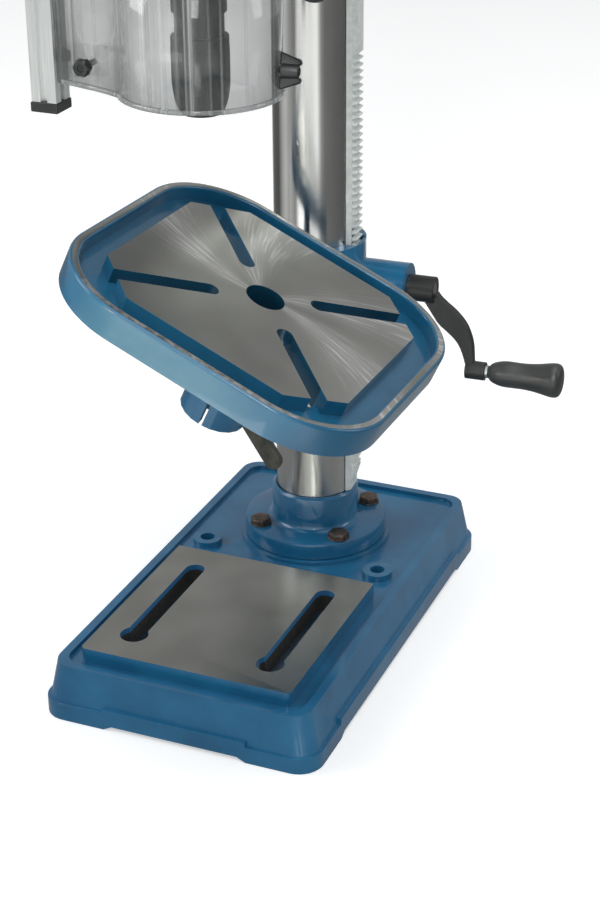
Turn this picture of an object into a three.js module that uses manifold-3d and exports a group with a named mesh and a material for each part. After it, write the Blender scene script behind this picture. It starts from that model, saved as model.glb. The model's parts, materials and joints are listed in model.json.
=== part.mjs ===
// Pillar drill with a swinging, tilting and turning table, raised on a rack by a side crank.
// Millimetres, +Z up. The origin is the column's axis at the bench, and the spindle stands at -Y.
// The table is shown swung, tilted and turned, and every piece that moves is a mesh of its own.
import * as THREE from "three";
import Module from "manifold-3d";
import { mergeVertices } from "three/addons/utils/BufferGeometryUtils.js";

const wasm = await Module();
wasm.setup();

// Clearances and common sizes
const gap = 0.3;
const runningGap = 0.5;
const overrun = 2;
const throat = 225;

// How the table stands
const swingAngle = THREE.MathUtils.degToRad(3.33);
const tiltAngle = THREE.MathUtils.degToRad(24.5);
const turnAngle = THREE.MathUtils.degToRad(-3.66);

// Base
const baseWidth = 257;
const baseFrontReach = 319;
const baseBackReach = 117;
const lipCorner = 22;
const lipFootHeight = 15;
const lipHeight = 20;
const notchHeight = 4;
const footLength = 62;
const wallSideInset = 10.5;
const wallEndInset = 7;
const wallCorner = 18;
const wallFootInset = 3;
const rimHeight = 51;
const rimWidth = 8;
const trayFloor = 47;
const baseWall = 7;
const padTop = 61;
const padHalfWidth = 98;
const padFrontReach = 295;
const padBackReach = 100;
const padCorner = 5;
const slotSpacing = 129;
const slotWidth = 18;
const slotFrontReach = 250;
const slotBackReach = 127;
const keyholeReach = 258.5;
const keyholeDiameter = 25;
const seatRadius = 72;
const seatTop = 50.5;
const bossSpacing = 174;
const bossReach = 61;
const bossDiameter = 28;
const bossTop = 53;
const bossHoleDiameter = 14;
const footBossRadius = 56;

// Column, its flange and the flange bolts
const columnDiameter = 73;
const columnWall = 4.5;
const columnTopDrop = 15;
const flangeRadius = 67.5;
const flangeTop = 66.8;
const collarRadius = 41;
const collarTop = 101.3;
const collarBevel = 2.5;
const boltCircle = 56.5;
const boltRadius = 5;
const boltHeadAcross = 17;
const boltHeadHeight = 5;
const boltGrip = 15;
const washerRadius = 10.2;
const washerThickness = 1.4;

// Rack and the ring that holds its upper end
const rackPitch = 6.2832;
const rackTipRadius = 43.5;
const rackToothDepth = 4.5;
const rackFaceWidth = 17;
const rackBackWidth = 27;
const rackBackBite = 8;
const rackTeethStart = 125;
const rackChamferDrop = 16;
const rackPlainLength = 82.7;
const rackFlankShare = 0.2;
const rackTipShare = 0.2;
const rackRingHeight = 18;
const rackRingRadius = 48;
const rackRingBossShare = 1.4;
const ringToHead = 33;

// Table bracket
const sleeveRadius = 48;
const sleeveBottom = 212;
const sleeveAboveWorm = 39;
const rackChannelWidth = 29;
const rackChannelDepth = 1.2;
const sleeveSlit = 3;
const clampReach = 73;
const clampHeight = 232;
const clampEarRadius = 17;
const clampEarWidth = 32;
const tiltPivotHeight = 298.3;
const tiltFaceReach = 72;
const tiltBossRadius = 34;
const tiltBoltRadius = 8;
const tiltBoltHeadAcross = 22;
const tiltBoltHeadHeight = 13;
const wormHeight = 311;
const wormBossRadius = 22;
const wormBossReach = 90.5;
const gearRootRadius = 9;
const gearTipRadius = 14;
const gearPitchRadius = 12;
const gearTeeth = 12;
const gearRootShare = 0.26;
const gearTipShare = 0.09;
const gearWidth = 16;
const gearRimThickness = 7;
const gearHouseWidth = 42;
const gearPinRadius = 5;
const wormCentreDistance = 19;

// Crank
const wormShaftRadius = 7;
const wormCoreRadius = 4.4;
const crankHubRadius = 12;
const crankHubLength = 24.4;
const crankDrop = 73.2;
const crankReach = 52;
const crankArmWidth = 9;
const crankEndRadius = 8.5;
const crankOuterShares = [
  [0.1, -0.03],
  [0.235, 0],
  [0.33, 0.085],
  [0.46, 0.165],
  [0.635, 0.265],
  [0.8, 0.4],
  [0.89, 0.54],
  [0.94, 0.68],
  [0.96, 0.88],
];
const crankInnerShares = [
  [1, 1.09],
  [0.87, 1.07],
  [0.83, 0.94],
  [0.77, 0.79],
  [0.675, 0.645],
  [0.525, 0.535],
  [0.327, 0.42],
  [0.18, 0.27],
  [0.02, 0.1],
];
const crankEndLength = 18;
const gripStart = 3.2;
const gripLength = 68;
const gripRadius = 16;
const gripSides = 15;
const gripPinRadius = 4;

// Levers
const leverLength = 100;
const leverWidth = 16;
const leverThickness = 8;
const leverReach = 64;
const leverHubRadius = 11;
const leverScrewRadius = 5;
const leverAngle = THREE.MathUtils.degToRad(32);

// Table and its arm
const tableSize = 280;
const tableCorner = 77;
const tableHeight = 25;
const tableRise = 88.3;
const tableRim = 8.5;
const gutterDepth = 13;
const tablePlate = 19;
const tablePadWidth = 220;
const tablePadLength = 228;
const tablePadChamfer = 40;
const tableSlotWidth = 14;
const tableSlotStart = 42;
const tableHoleDiameter = 33;
const stemDiameter = 40;
const stemDepth = 106;
const ringRadius = 28.4;
const ringTopDepth = 67;
const ringBottomDepth = 117;
const ringSlit = 3;
const ringScrewRadius = 2.5;
const ringScrewHeadRadius = 3.6;
const ringScrewHeadLength = 4;
const ringScrewReach = 9;
const armWidth = 44;
const armWall = 8;
const armDiscThickness = 20;

// Head casting
const headBottom = 655;
const headHeight = 205;
const headHalfWidth = 70;
const headNoseRadius = 60;
const headBackReach = 68;
const headCorner = 16;
const headWall = 12;
const quillRadius = 25;
const quillProud = 23;
const quillHeadroom = 48;
const quillWall = 7;
const feedShaftRadius = 9;
const feedPitchRadius = 14;
const feedRise = 97;

// Spindle, bearings and chuck
const spindleRadius = 8.5;
const spindleNoseRadius = 11;
const spindleAboveHead = 90;
const bearingHeight = 14;
const bearingLip = 0.6;
const chuckTaperHeight = 9.4;
const chuckNoseRadius = 13;
const chuckConeRadius = 19.3;
const chuckConeHeight = 4;
const chuckSleeveHeight = 51;
const chuckSleeveRadius = 22.6;
const chuckCoreRadius = 15.5;
const chuckNeckRadius = 19.1;
const chuckNeckHeight = 18;
const chuckRingRadius = 21.3;
const chuckRingHeight = 17;
const chuckDrop = 11;
const jawRadius = 6.3;
const jawRecess = 1;
const jawLength = 28;
const jawGap = 0.8;

// Feed hub, arms and knobs
const feedHubRadius = 24;
const feedHubLength = 34;
const feedArmRadius = 5;
const feedArmReach = 144;
const feedArmLean = 32;
const feedArmAngle = THREE.MathUtils.degToRad(-135.6);
const feedKnobRadius = 17;
const depthCollarRadius = 33;
const depthCollarLength = 11;
const springCoverRadius = 31;
const springCoverLength = 26;

// Belt drive, its housing and the motor
const motorReach = 165;
const housingRadius = 86;
const housingWall = 3;
const housingHeight = 38;
const coverHeight = 60;
const hingeRadius = 4;
const pulleyHeight = 63;
const pulleyLift = 8;
const spindlePulleyRadius = 62;
const motorPulleyRadius = 40;
const pulleyStepDrop = 9;
const grooveDepth = 5;
const pulleySleeveRadius = 15;
const beltThickness = 5;
const beltWidth = 9;
const motorRadius = 62;
const motorHeight = 177;
const motorDrop = 15;
const motorShaftRadius = 7;
const motorFootWidth = 100;
const motorFootDepth = 30;
const motorPlateThickness = 8;
const rodPlateEdge = 10;
const motorPlateHeight = 130;
const motorPlateDrop = 30;
const motorPlateReach = 88;
const rodInset = 16;
const rodRadius = 8;
const rodDrop = 60;
const rodLength = 60;
const lockKnobRadius = 15;
const lockKnobLength = 18;
const lockKnobReach = 40;
const lidKnobRadius = 11;
const lidKnobHeight = 14;

// Switch box
const switchWidth = 40;
const switchDepth = 52;
const switchHeight = 96;
const switchDrop = 120;
const switchFrontReach = 146;
const buttonRadius = 11;
const buttonLength = 9;
const buttonSpacing = 36;
const buttonStemRadius = 5;
const buttonTravel = 4;

// Chip guard
const guardRadius = 63.6;
const guardThickness = 2.5;
const guardHeight = 111;
const guardDrop = 3;
const guardArcStart = THREE.MathUtils.degToRad(-145);
const guardArcEnd = THREE.MathUtils.degToRad(25);
const guardBendReach = 71;
const guardBendDepth = 28;
const guardLeafReach = 117;
const guardLeafDepth = 15;
const postSize = 22;
const postReach = 129;
const postDepth = 6;
const postLength = 166;
const postRise = 35;
const postSlot = 6;
const postSlotDepth = 5;
const postPinRadius = 6;
const postPinLength = 20;
const capHeight = 8;
const capOverhang = 1;
const guardArmHeight = 20;
const guardArmWidth = 26;
const sliderWidth = 40;
const sliderDepth = 10;
const sliderHeight = 22;
const guardScrewReach = 85.5;
const sliderRise = 7.5;
const guardHoleLength = 10;
const guardKnobRadius = 6.5;
const guardKnobLength = 8;
const guardKnobStandoff = 3;
const guardScrewRadius = 2.5;
const wingNutRise = 21;
const wingSpan = 27;
const wingThickness = 4;
const wingHubRadius = 6;
const wingHubLength = 14;
const wingAngle = THREE.MathUtils.degToRad(8);

// Finishes
const bluePaint = { color: 0x3f7aa3, roughness: 0.3, metalness: 0.1 };
const polishedSteel = { color: 0xc4c4c0, roughness: 0.2, metalness: 1 };
const zinc = { color: 0xc6cdcb, roughness: 0.35, metalness: 0.9 };
const blackOxide = { color: 0x2c2e30, roughness: 0.45, metalness: 0.6 };
const blackPlastic = { color: 0x26282a, roughness: 0.5, metalness: 0 };
const blackPaint = { color: 0x2b2d2e, roughness: 0.4, metalness: 0.2 };
const aluminium = { color: 0xb9bcbe, roughness: 0.35, metalness: 0.9 };
const clearPlastic = { color: 0xdfe6e8, roughness: 0.08, metalness: 0, transparent: true, opacity: 0.35 };
const greenPlastic = { color: 0x2f8f4e, roughness: 0.4, metalness: 0 };
const redPlastic = { color: 0xb3261e, roughness: 0.4, metalness: 0 };
const rubber = { color: 0x1b1b1c, roughness: 0.8, metalness: 0 };

// Faces round the large, middle and small turned pieces
const manySides = 32;
const someSides = 20;
const fewSides = 12;
const cornerSteps = 4;

const columnRadius = columnDiameter / 2;
const bracketBore = columnRadius + runningGap;
const spindleY = -throat;
const feedY = spindleY + quillRadius + feedPitchRadius;
const rackTop = headBottom - ringToHead - rackRingHeight - gap;
const rackTeethEnd = rackTop - rackPlainLength;
const sleeveTop = wormHeight + sleeveAboveWorm;

// Heights and widths of the head, and of what is fixed on it or hangs below it
const headTop = headBottom + headHeight;
const columnTop = headTop - columnTopDrop;
const quillBottom = headBottom - quillProud;
const quillTop = headTop - quillHeadroom;
const feedHeight = headBottom + feedRise;
const spindleTop = headTop + spindleAboveHead;
const chuckTop = quillBottom - chuckDrop;
const chuckNeckTop = chuckTop - chuckRingHeight;
const chuckSleeveTop = chuckNeckTop - chuckNeckHeight;
const chuckBodyStart = chuckSleeveTop - chuckSleeveHeight;
const chuckNoseBottom = chuckBodyStart - chuckTaperHeight;
const motorTop = headTop - motorDrop;
const motorBottom = motorTop - motorHeight;
const motorPlateTop = headTop - motorPlateDrop;
const motorPlateBottom = motorPlateTop - motorPlateHeight;
const rodHeight = headTop - rodDrop;
const rodSpacing = (headHalfWidth - rodInset) * 2;
const motorPlateWidth = rodSpacing + rodPlateEdge * 2;
const switchBottom = headTop - switchDrop;
const guardTop = headBottom - guardDrop;
const guardBottom = guardTop - guardHeight;
const postTop = headBottom + postRise;
const postBottom = postTop - postLength;
const sliderBottom = guardBottom + sliderRise;
const wingNutHeight = guardBottom + wingNutRise;

// Turns a geometry into a solid that can be cut and joined.
function solid(geometry) {
  const bare = geometry.index ? geometry.toNonIndexed() : geometry.clone();
  bare.deleteAttribute("normal");
  bare.deleteAttribute("uv");
  const merged = mergeVertices(bare, gap / 1000);
  const corners = merged.index.array;
  const kept = [];
  for (let i = 0; i < corners.length; i += 3) {
    const [a, b, c] = [corners[i], corners[i + 1], corners[i + 2]];
    if (a !== b && b !== c && c !== a) kept.push(a, b, c);
  }
  const vertProperties = merged.attributes.position.array;
  return new wasm.Manifold(new wasm.Mesh({ numProp: 3, vertProperties, triVerts: new Uint32Array(kept) }));
}

// Turns a solid back into a geometry with a flat face at each triangle.
function geometryOf(body) {
  const mesh = body.getMesh();
  const geometry = new THREE.BufferGeometry();
  geometry.setAttribute("position", new THREE.BufferAttribute(mesh.vertProperties, 3));
  geometry.setIndex(new THREE.BufferAttribute(mesh.triVerts, 1));
  const faceted = geometry.toNonIndexed();
  faceted.computeVertexNormals();
  return faceted;
}

// Adds a named mesh with its finish to a group.
function addPiece(group, name, body, finish) {
  const mesh = new THREE.Mesh(geometryOf(body), new THREE.MeshStandardMaterial(finish));
  mesh.name = name;
  group.add(mesh);
  return mesh;
}

function join(first, ...others) {
  return others.reduce((sum, other) => sum.add(other), first);
}

function cut(first, ...others) {
  return others.reduce((rest, other) => rest.subtract(other), first);
}

// A block between two values along each axis.
function block([lowX, highX], [lowY, highY], [lowZ, highZ]) {
  const geometry = new THREE.BoxGeometry(highX - lowX, highY - lowY, highZ - lowZ);
  geometry.translate((lowX + highX) / 2, (lowY + highY) / 2, (lowZ + highZ) / 2);
  return solid(geometry);
}

// A turned piece: radius and height pairs, from the axis round to the axis again, about Z.
function turned(profile, sides = someSides) {
  const points = profile.map(([radius, height]) => new THREE.Vector2(radius, height));
  const geometry = new THREE.LatheGeometry(points, sides);
  geometry.rotateX(Math.PI / 2);
  return solid(geometry);
}

// A disc or rod about Z between two heights.
function disc(radius, low, high, sides = someSides) {
  const profile = [
    [0, low],
    [radius, low],
    [radius, high],
    [0, high],
  ];
  return turned(profile, sides);
}

// A ring about Z, whose profile closes on itself.
function ring(inner, outer, low, high, sides = someSides) {
  const profile = [
    [inner, low],
    [outer, low],
    [outer, high],
    [inner, high],
    [inner, low],
  ];
  return turned(profile, sides);
}

function moved(body, x, y, z = 0) {
  return body.translate([x, y, z]);
}

// Lays a piece about Z along +X, through the given point.
function alongX(body, x, y, z) {
  return body.rotate([0, 90, 0]).translate([x, y, z]);
}

// Lays a piece about Z along -Y, through the given point.
function alongFront(body, x, y, z) {
  return body.rotate([90, 0, 0]).translate([x, y, z]);
}

// An outline pushed up along Z between two heights.
function raised(shape, low, high, steps = cornerSteps) {
  const geometry = new THREE.ExtrudeGeometry(
    shape,
    { depth: high - low, bevelEnabled: false, curveSegments: steps },
  );
  geometry.translate(0, 0, low);
  return solid(geometry);
}

function roundedRectangle([lowX, highX], [lowY, highY], radius) {
  const shape = new THREE.Shape();
  shape.moveTo(lowX + radius, lowY);
  shape.lineTo(highX - radius, lowY);
  shape.absarc(highX - radius, lowY + radius, radius, -Math.PI / 2, 0);
  shape.absarc(highX - radius, highY - radius, radius, 0, Math.PI / 2);
  shape.absarc(lowX + radius, highY - radius, radius, Math.PI / 2, Math.PI);
  shape.absarc(lowX + radius, lowY + radius, radius, Math.PI, 1.5 * Math.PI);
  shape.closePath();
  return shape;
}

function polygon(points) {
  return new THREE.Shape(points.map(([x, y]) => new THREE.Vector2(x, y)));
}

// A straight slot with round ends between two points.
function slotShape([x1, y1], [x2, y2], width) {
  const angle = Math.atan2(y2 - y1, x2 - x1);
  const shape = new THREE.Shape();
  shape.absarc(x2, y2, width / 2, angle - Math.PI / 2, angle + Math.PI / 2);
  shape.absarc(x1, y1, width / 2, angle + Math.PI / 2, angle + 1.5 * Math.PI);
  shape.closePath();
  return shape;
}

function hexagon(across, low, high) {
  const radius = across / 2 / Math.cos(Math.PI / 6);
  return disc(radius, low, high, 6);
}

// Base casting: lip, wall, tray, machined pad, column seat and mounting bosses.
function baseCasting() {
  const half = baseWidth / 2;
  const lipX = [-half, half];
  const lipY = [-baseFrontReach, baseBackReach];
  const wallX = [-half + wallSideInset, half - wallSideInset];
  const wallY = [-baseFrontReach + wallEndInset, baseBackReach - wallEndInset];
  const inset = ([low, high], by) => [low + by, high - by];
  const lip = raised(roundedRectangle(lipX, lipY, lipCorner), 0, lipHeight);
  const wall = drafted(
    inset(lipX, wallFootInset),
    inset(lipY, wallFootInset),
    [lipFootHeight - overrun, rimHeight],
    [wallSideInset - wallFootInset, wallEndInset - wallFootInset],
  );
  const trayShape = roundedRectangle(
    inset(wallX, rimWidth),
    inset(wallY, rimWidth),
    wallCorner - rimWidth / 2,
  );
  const tray = raised(trayShape, trayFloor, rimHeight + overrun);
  const padShape = roundedRectangle(
    [-padHalfWidth, padHalfWidth],
    [-padFrontReach, -padBackReach + seatRadius / 2],
    padCorner,
  );
  const seat = disc(seatRadius, trayFloor - baseWall, seatTop, manySides);
  const seatRoom = disc(seatRadius, seatTop, padTop + overrun, manySides);
  const pad = cut(raised(padShape, trayFloor - baseWall, padTop), seatRoom).subtract(
    block([-half, half], [-padBackReach, 0], [trayFloor, padTop + overrun]),
  );
  const insideX = inset(wallX, baseWall);
  const insideY = inset(wallY, baseWall);
  const cavity = raised(
    roundedRectangle(insideX, insideY, wallCorner - baseWall),
    -overrun,
    trayFloor - baseWall,
  );
  const cornerCuts = lipStepCuts(lipX, lipY, wallX, wallY);
  const notches = footNotches(lipX, lipY);
  let body = cut(join(cut(lip, ...cornerCuts), wall), tray, cavity);
  body = join(body, pad, seat, disc(footBossRadius, 0, trayFloor, manySides));
  for (const side of [-1, 1]) {
    const bossX = (side * bossSpacing) / 2;
    body = body.add(moved(disc(bossDiameter / 2, 0, bossTop), bossX, -bossReach));
    body = body.subtract(
      moved(disc(bossHoleDiameter / 2, -overrun, bossTop + overrun, fewSides), bossX, -bossReach),
    );
    body = body.subtract(padSlot((side * slotSpacing) / 2));
  }
  for (const angle of boltAngles()) {
    const hole = disc(boltRadius + gap, flangeTop - gripDepth(), seatTop + overrun, fewSides);
    body = body.subtract(moved(hole, boltCircle * Math.cos(angle), boltCircle * Math.sin(angle)));
  }
  return cut(body, ...notches);
}

// The base's wall leans in as it rises, as a cast wall does to leave its mould.
function drafted([lowX, highX], [lowY, highY], [low, high], [inX, inY]) {
  const geometry = new THREE.ExtrudeGeometry(
    roundedRectangle([lowX, highX], [lowY, highY], wallCorner),
    { depth: high - low, bevelEnabled: false, curveSegments: cornerSteps },
  );
  const [middleX, middleY] = [(lowX + highX) / 2, (lowY + highY) / 2];
  const shareX = 1 - inX / (highX - middleX);
  const shareY = 1 - inY / (highY - middleY);
  const place = geometry.attributes.position;
  for (let index = 0; index < place.count; index += 1) {
    if (place.getZ(index) < (high - low) / 2) continue;
    place.setX(index, middleX + (place.getX(index) - middleX) * shareX);
    place.setY(index, middleY + (place.getY(index) - middleY) * shareY);
  }
  geometry.translate(0, 0, low);
  return solid(geometry);
}

// The lip is lower at its four corner feet than between them.
function lipStepCuts([lowX, highX], [lowY, highY], wallX, wallY) {
  const frame = block(
    [lowX - overrun, highX + overrun],
    [lowY - overrun, highY + overrun],
    [lipFootHeight, lipHeight + overrun],
  );
  const core = raised(roundedRectangle(wallX, wallY, wallCorner), lipFootHeight, lipHeight + overrun);
  const across = block(
    [lowX - overrun, highX + overrun],
    [lowY + footLength, highY - footLength],
    [0, rimHeight],
  );
  const along = block(
    [lowX + footLength, highX - footLength],
    [lowY - overrun, highY + overrun],
    [0, rimHeight],
  );
  return [cut(frame, core, across, along)];
}

// Shallow notches under the lip leave four corner feet, with sloped ends.
function footNotches([lowX, highX], [lowY, highY]) {
  const slope = notchHeight * 2;
  const profile = (low, high) =>
    polygon([
      [low + footLength, -overrun],
      [high - footLength, -overrun],
      [high - footLength, 0],
      [high - footLength - slope, notchHeight],
      [low + footLength + slope, notchHeight],
      [low + footLength, 0],
    ]);
  const width = highX - lowX;
  const depth = highY - lowY;
  const edge = wallSideInset + baseWall + overrun;
  const upright = (shape, length) => solid(
    new THREE.ExtrudeGeometry(shape, { depth: length, bevelEnabled: false }),
  );
  const front = upright(profile(lowX, highX), edge).rotate([90, 0, 0]);
  const side = upright(profile(lowY, highY), edge).rotate([90, 0, 0]).rotate([0, 0, 90]);
  return [
    front.translate([0, lowY + edge - overrun, 0]),
    front.translate([0, highY + overrun, 0]),
    side.translate([lowX - overrun, 0, 0]),
    side.translate([highX - edge + overrun, 0, 0]),
  ];
}

// A through slot in the pad with a round entry for the bolt's head at its front end.
function padSlot(x) {
  const radius = slotWidth / 2;
  const outline = slotShape([x, -slotFrontReach], [x, -slotBackReach - radius], slotWidth);
  const slot = raised(outline, -overrun, padTop + overrun);
  const entry = moved(disc(keyholeDiameter / 2, -overrun, padTop + overrun), x, -keyholeReach);
  return slot.add(entry);
}

function boltAngles() {
  return [0, 1, 2, 3].map((index) => Math.PI / 4 + (index * Math.PI) / 2);
}

// How far a flange bolt reaches down from the flange's top.
function gripDepth() {
  return flangeTop - seatTop + boltGrip;
}

// Column flange: a disc on the seat, with a collar round the column.
function columnFlange() {
  const bore = columnRadius + gap;
  const profile = [
    [bore, seatTop],
    [flangeRadius, seatTop],
    [flangeRadius, flangeTop - collarBevel],
    [flangeRadius - collarBevel, flangeTop],
    [collarRadius + collarBevel, flangeTop],
    [collarRadius, flangeTop + collarBevel],
    [collarRadius, collarTop - collarBevel / 2],
    [collarRadius - collarBevel / 2, collarTop],
    [bore, collarTop],
    [bore, seatTop],
  ];
  let body = turned(profile, manySides);
  for (const angle of boltAngles()) {
    const hole = disc(boltRadius + gap, seatTop - overrun, flangeTop + overrun, fewSides);
    body = body.subtract(moved(hole, boltCircle * Math.cos(angle), boltCircle * Math.sin(angle)));
  }
  return body;
}

// A hexagon bolt with its washer, the shank down through the flange.
function flangeBolt(angle) {
  const body = join(
    disc(boltRadius, flangeTop - gripDepth() + gap, flangeTop + washerThickness, fewSides),
    disc(washerRadius, flangeTop, flangeTop + washerThickness, fewSides),
    hexagon(boltHeadAcross, flangeTop + washerThickness, flangeTop + washerThickness + boltHeadHeight),
  );
  return moved(body, boltCircle * Math.cos(angle), boltCircle * Math.sin(angle));
}

function column() {
  return ring(columnRadius - columnWall, columnRadius, seatTop, columnTop, manySides);
}

// Rack: a toothed face on a bar that lies against the column, in the bracket's turned frame.
function rack() {
  const root = rackTipRadius - rackToothDepth;
  const back = columnRadius + gap;
  const bottom = collarTop + gap;
  const count = Math.floor((rackTeethEnd - rackTeethStart) / rackPitch);
  const profile = [
    [back - overrun, bottom],
    [root, bottom],
    [root, rackTeethStart - rackChamferDrop],
    [rackTipRadius, rackTeethStart - rackPitch * rackTipShare],
    [root, rackTeethStart],
  ];
  for (let tooth = 0; tooth < count; tooth += 1) {
    const z = rackTeethStart + tooth * rackPitch;
    profile.push([rackTipRadius, z + rackPitch * rackFlankShare]);
    profile.push([rackTipRadius, z + rackPitch * (rackFlankShare + rackTipShare)]);
    profile.push([root, z + rackPitch * (rackFlankShare * 2 + rackTipShare)]);
    profile.push([root, z + rackPitch]);
  }
  profile.push([rackTipRadius, rackTeethStart + (count + rackFlankShare) * rackPitch]);
  profile.push([rackTipRadius, rackTop]);
  profile.push([back - overrun, rackTop]);
  const side = new THREE.ExtrudeGeometry(polygon(profile), { depth: rackBackWidth, bevelEnabled: false });
  const bar = solid(side).rotate([90, 0, 0]).translate([0, rackBackWidth / 2, 0]);
  const faceHalf = rackFaceWidth / 2;
  const backHalf = rackBackWidth / 2;
  const section = polygon([
    [columnRadius - rackBackBite, -backHalf],
    [back - overrun, -backHalf],
    [root, -faceHalf - (backHalf - faceHalf) / 4],
    [root, -faceHalf],
    [rackTipRadius + overrun, -faceHalf],
    [rackTipRadius + overrun, faceHalf],
    [root, faceHalf],
    [root, faceHalf + (backHalf - faceHalf) / 4],
    [back - overrun, backHalf],
    [columnRadius - rackBackBite, backHalf],
  ]);
  const trim = raised(section, bottom - overrun, rackTop + overrun);
  return bar.intersect(trim).subtract(disc(back, bottom - overrun, rackTop + overrun, manySides));
}

// The ring clamped on the column above the rack, with its set-screw boss at the front.
function rackRing() {
  const low = rackTop + gap;
  const high = low + rackRingHeight;
  const middle = (low + high) / 2;
  const boss = alongFront(
    disc(boltRadius * rackRingBossShare, 0, overrun * 2, fewSides),
    0,
    -rackRingRadius + overrun,
    middle,
  );
  return ring(columnRadius + gap, rackRingRadius, low, high, manySides).add(boss);
}

// Table bracket: a split sleeve on the column with the tilt boss, the gear house and the clamp ears.
function tableBracket() {
  const gearX = gearAxisX();
  const gearZ = wormHeight - wormCentreDistance;
  const sleeve = disc(sleeveRadius, sleeveBottom, sleeveTop, manySides);
  const tiltBoss = alongFront(disc(tiltBossRadius, 0, tiltFaceReach, manySides), 0, 0, tiltPivotHeight);
  const wormBoss = alongX(disc(wormBossRadius, 0, wormBossReach), 0, 0, wormHeight);
  const houseRadius = gearTipRadius + gearRimThickness;
  const house = alongFront(disc(houseRadius, -gearHouseWidth / 2, gearHouseWidth / 2), gearX, 0, gearZ);
  const ear = alongFront(
    disc(clampEarRadius, -clampEarWidth / 2, clampEarWidth / 2),
    -clampReach,
    0,
    clampHeight,
  );
  const earRoot = block(
    [-clampReach, 0],
    [-clampEarWidth / 2, clampEarWidth / 2],
    [clampHeight - clampEarRadius, clampHeight + clampEarRadius],
  );
  return cut(
    join(sleeve, tiltBoss, wormBoss, house, ear, earRoot),
    disc(bracketBore, seatTop, columnTop, manySides),
    block(
      [0, rackTipRadius + rackChannelDepth],
      [-rackChannelWidth / 2, rackChannelWidth / 2],
      [seatTop, columnTop],
    ),
    block(
      [-clampReach - clampEarRadius - overrun, 0],
      [-sleeveSlit / 2, sleeveSlit / 2],
      [seatTop, columnTop],
    ),
    alongFront(disc(gearTipRadius + gap, -gearWidth / 2 - gap, gearWidth / 2 + gap), gearX, 0, gearZ),
    alongFront(
      disc(gearPinRadius + gap, -houseRadius - overrun, houseRadius + overrun, fewSides),
      gearX,
      0,
      gearZ,
    ),
    alongX(disc(wormShaftRadius + gap, 0, wormBossReach + overrun, fewSides), columnRadius, 0, wormHeight),
    alongFront(
      disc(leverScrewRadius + gap, -clampEarWidth, clampEarWidth, fewSides),
      -clampReach,
      0,
      clampHeight,
    ),
    alongFront(disc(tiltBoltRadius + gap, 0, tiltFaceReach + overrun, fewSides), 0, 0, tiltPivotHeight),
  );
}

function gearAxisX() {
  return rackTipRadius - rackToothDepth / 2 + gearPitchRadius;
}

// The pinion that climbs the rack, its teeth standing in the rack's gaps.
function liftGear() {
  const points = [];
  const toothAngle = (2 * Math.PI) / gearTeeth;
  const phase = gearPhase();
  const flanks = [
    [gearRootRadius, -gearRootShare],
    [gearTipRadius, -gearTipShare],
    [gearTipRadius, gearTipShare],
    [gearRootRadius, gearRootShare],
  ];
  for (let tooth = 0; tooth < gearTeeth; tooth += 1) {
    for (const [radius, share] of flanks) {
      const angle = phase + (tooth + share) * toothAngle;
      points.push([radius * Math.cos(angle), radius * Math.sin(angle)]);
    }
  }
  const bore = disc(gearPinRadius + gap, -gearWidth, gearWidth, fewSides);
  return raised(polygon(points), -gearWidth / 2, gearWidth / 2).subtract(bore);
}

// The turn that brings a gear tooth level with a gap of the rack, on the side that faces the column.
function gearPhase() {
  const toothAngle = (2 * Math.PI) / gearTeeth;
  const gapShare = (1 + rackFlankShare * 2 + rackTipShare) / 2;
  const offset = (wormHeight - wormCentreDistance - rackTeethStart) / rackPitch - gapShare;
  return Math.PI + (offset - Math.round(offset)) * toothAngle;
}

// The pin that the pinion turns on, held in both walls of the gear house.
function gearPin() {
  const half = gearHouseWidth / 2;
  return alongFront(
    disc(gearPinRadius, -half, half, fewSides),
    gearAxisX(),
    0,
    wormHeight - wormCentreDistance,
  );
}

// The crank's shaft, necked under the gear where its worm lies.
function wormShaft() {
  const neckEnd = gearAxisX() + gearTipRadius + gap;
  const start = rackTipRadius + gap * 2;
  const hubEnd = wormBossReach + gap + crankHubLength - gap;
  const profile = [
    [0, start],
    [wormCoreRadius, start],
    [wormCoreRadius, neckEnd],
    [wormShaftRadius, neckEnd],
    [wormShaftRadius, hubEnd],
    [0, hubEnd],
  ];
  return alongX(turned(profile, fewSides), 0, 0, wormHeight);
}

// Crank arm: a hub on the shaft, a curved flat arm that hangs down, and a boss for the grip's pin.
function crankArm() {
  const hubStart = wormBossReach + gap;
  const hubMiddle = hubStart + crankHubLength / 2;
  const endX = hubMiddle + crankReach;
  const endZ = wormHeight - crankDrop;
  const at = ([shareX, shareZ]) => new THREE.Vector2(
    hubMiddle + crankReach * shareX,
    wormHeight - crankDrop * shareZ,
  );
  const [start, ...outer] = crankOuterShares.map(at);
  const [innerStart, ...inner] = crankInnerShares.map(at);
  const shape = new THREE.Shape();
  shape.moveTo(start.x, start.y);
  shape.splineThru(outer);
  shape.lineTo(innerStart.x, innerStart.y);
  shape.splineThru(inner);
  shape.closePath();
  const flat = new THREE.ExtrudeGeometry(
    shape,
    { depth: crankArmWidth, bevelEnabled: false, curveSegments: cornerSteps / 2 },
  );
  const arm = solid(flat).rotate([90, 0, 0]).translate([0, crankArmWidth / 2, 0]);
  const hub = alongX(disc(crankHubRadius, hubStart, hubStart + crankHubLength), 0, 0, wormHeight);
  const endStart = endX - crankEndLength / 2;
  const end = alongX(disc(crankEndRadius, endStart, endStart + crankEndLength), 0, 0, endZ);
  const shaftHole = alongX(
    disc(wormShaftRadius + gap, hubStart - overrun, hubStart + crankHubLength + overrun, fewSides),
    0,
    0,
    wormHeight,
  );
  const pin = alongX(
    disc(gripPinRadius, endX, endX + crankEndLength / 2 + gripLength / 2, fewSides),
    0,
    0,
    endZ,
  );
  return join(arm, hub, end).subtract(shaftHole).add(pin);
}

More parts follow.
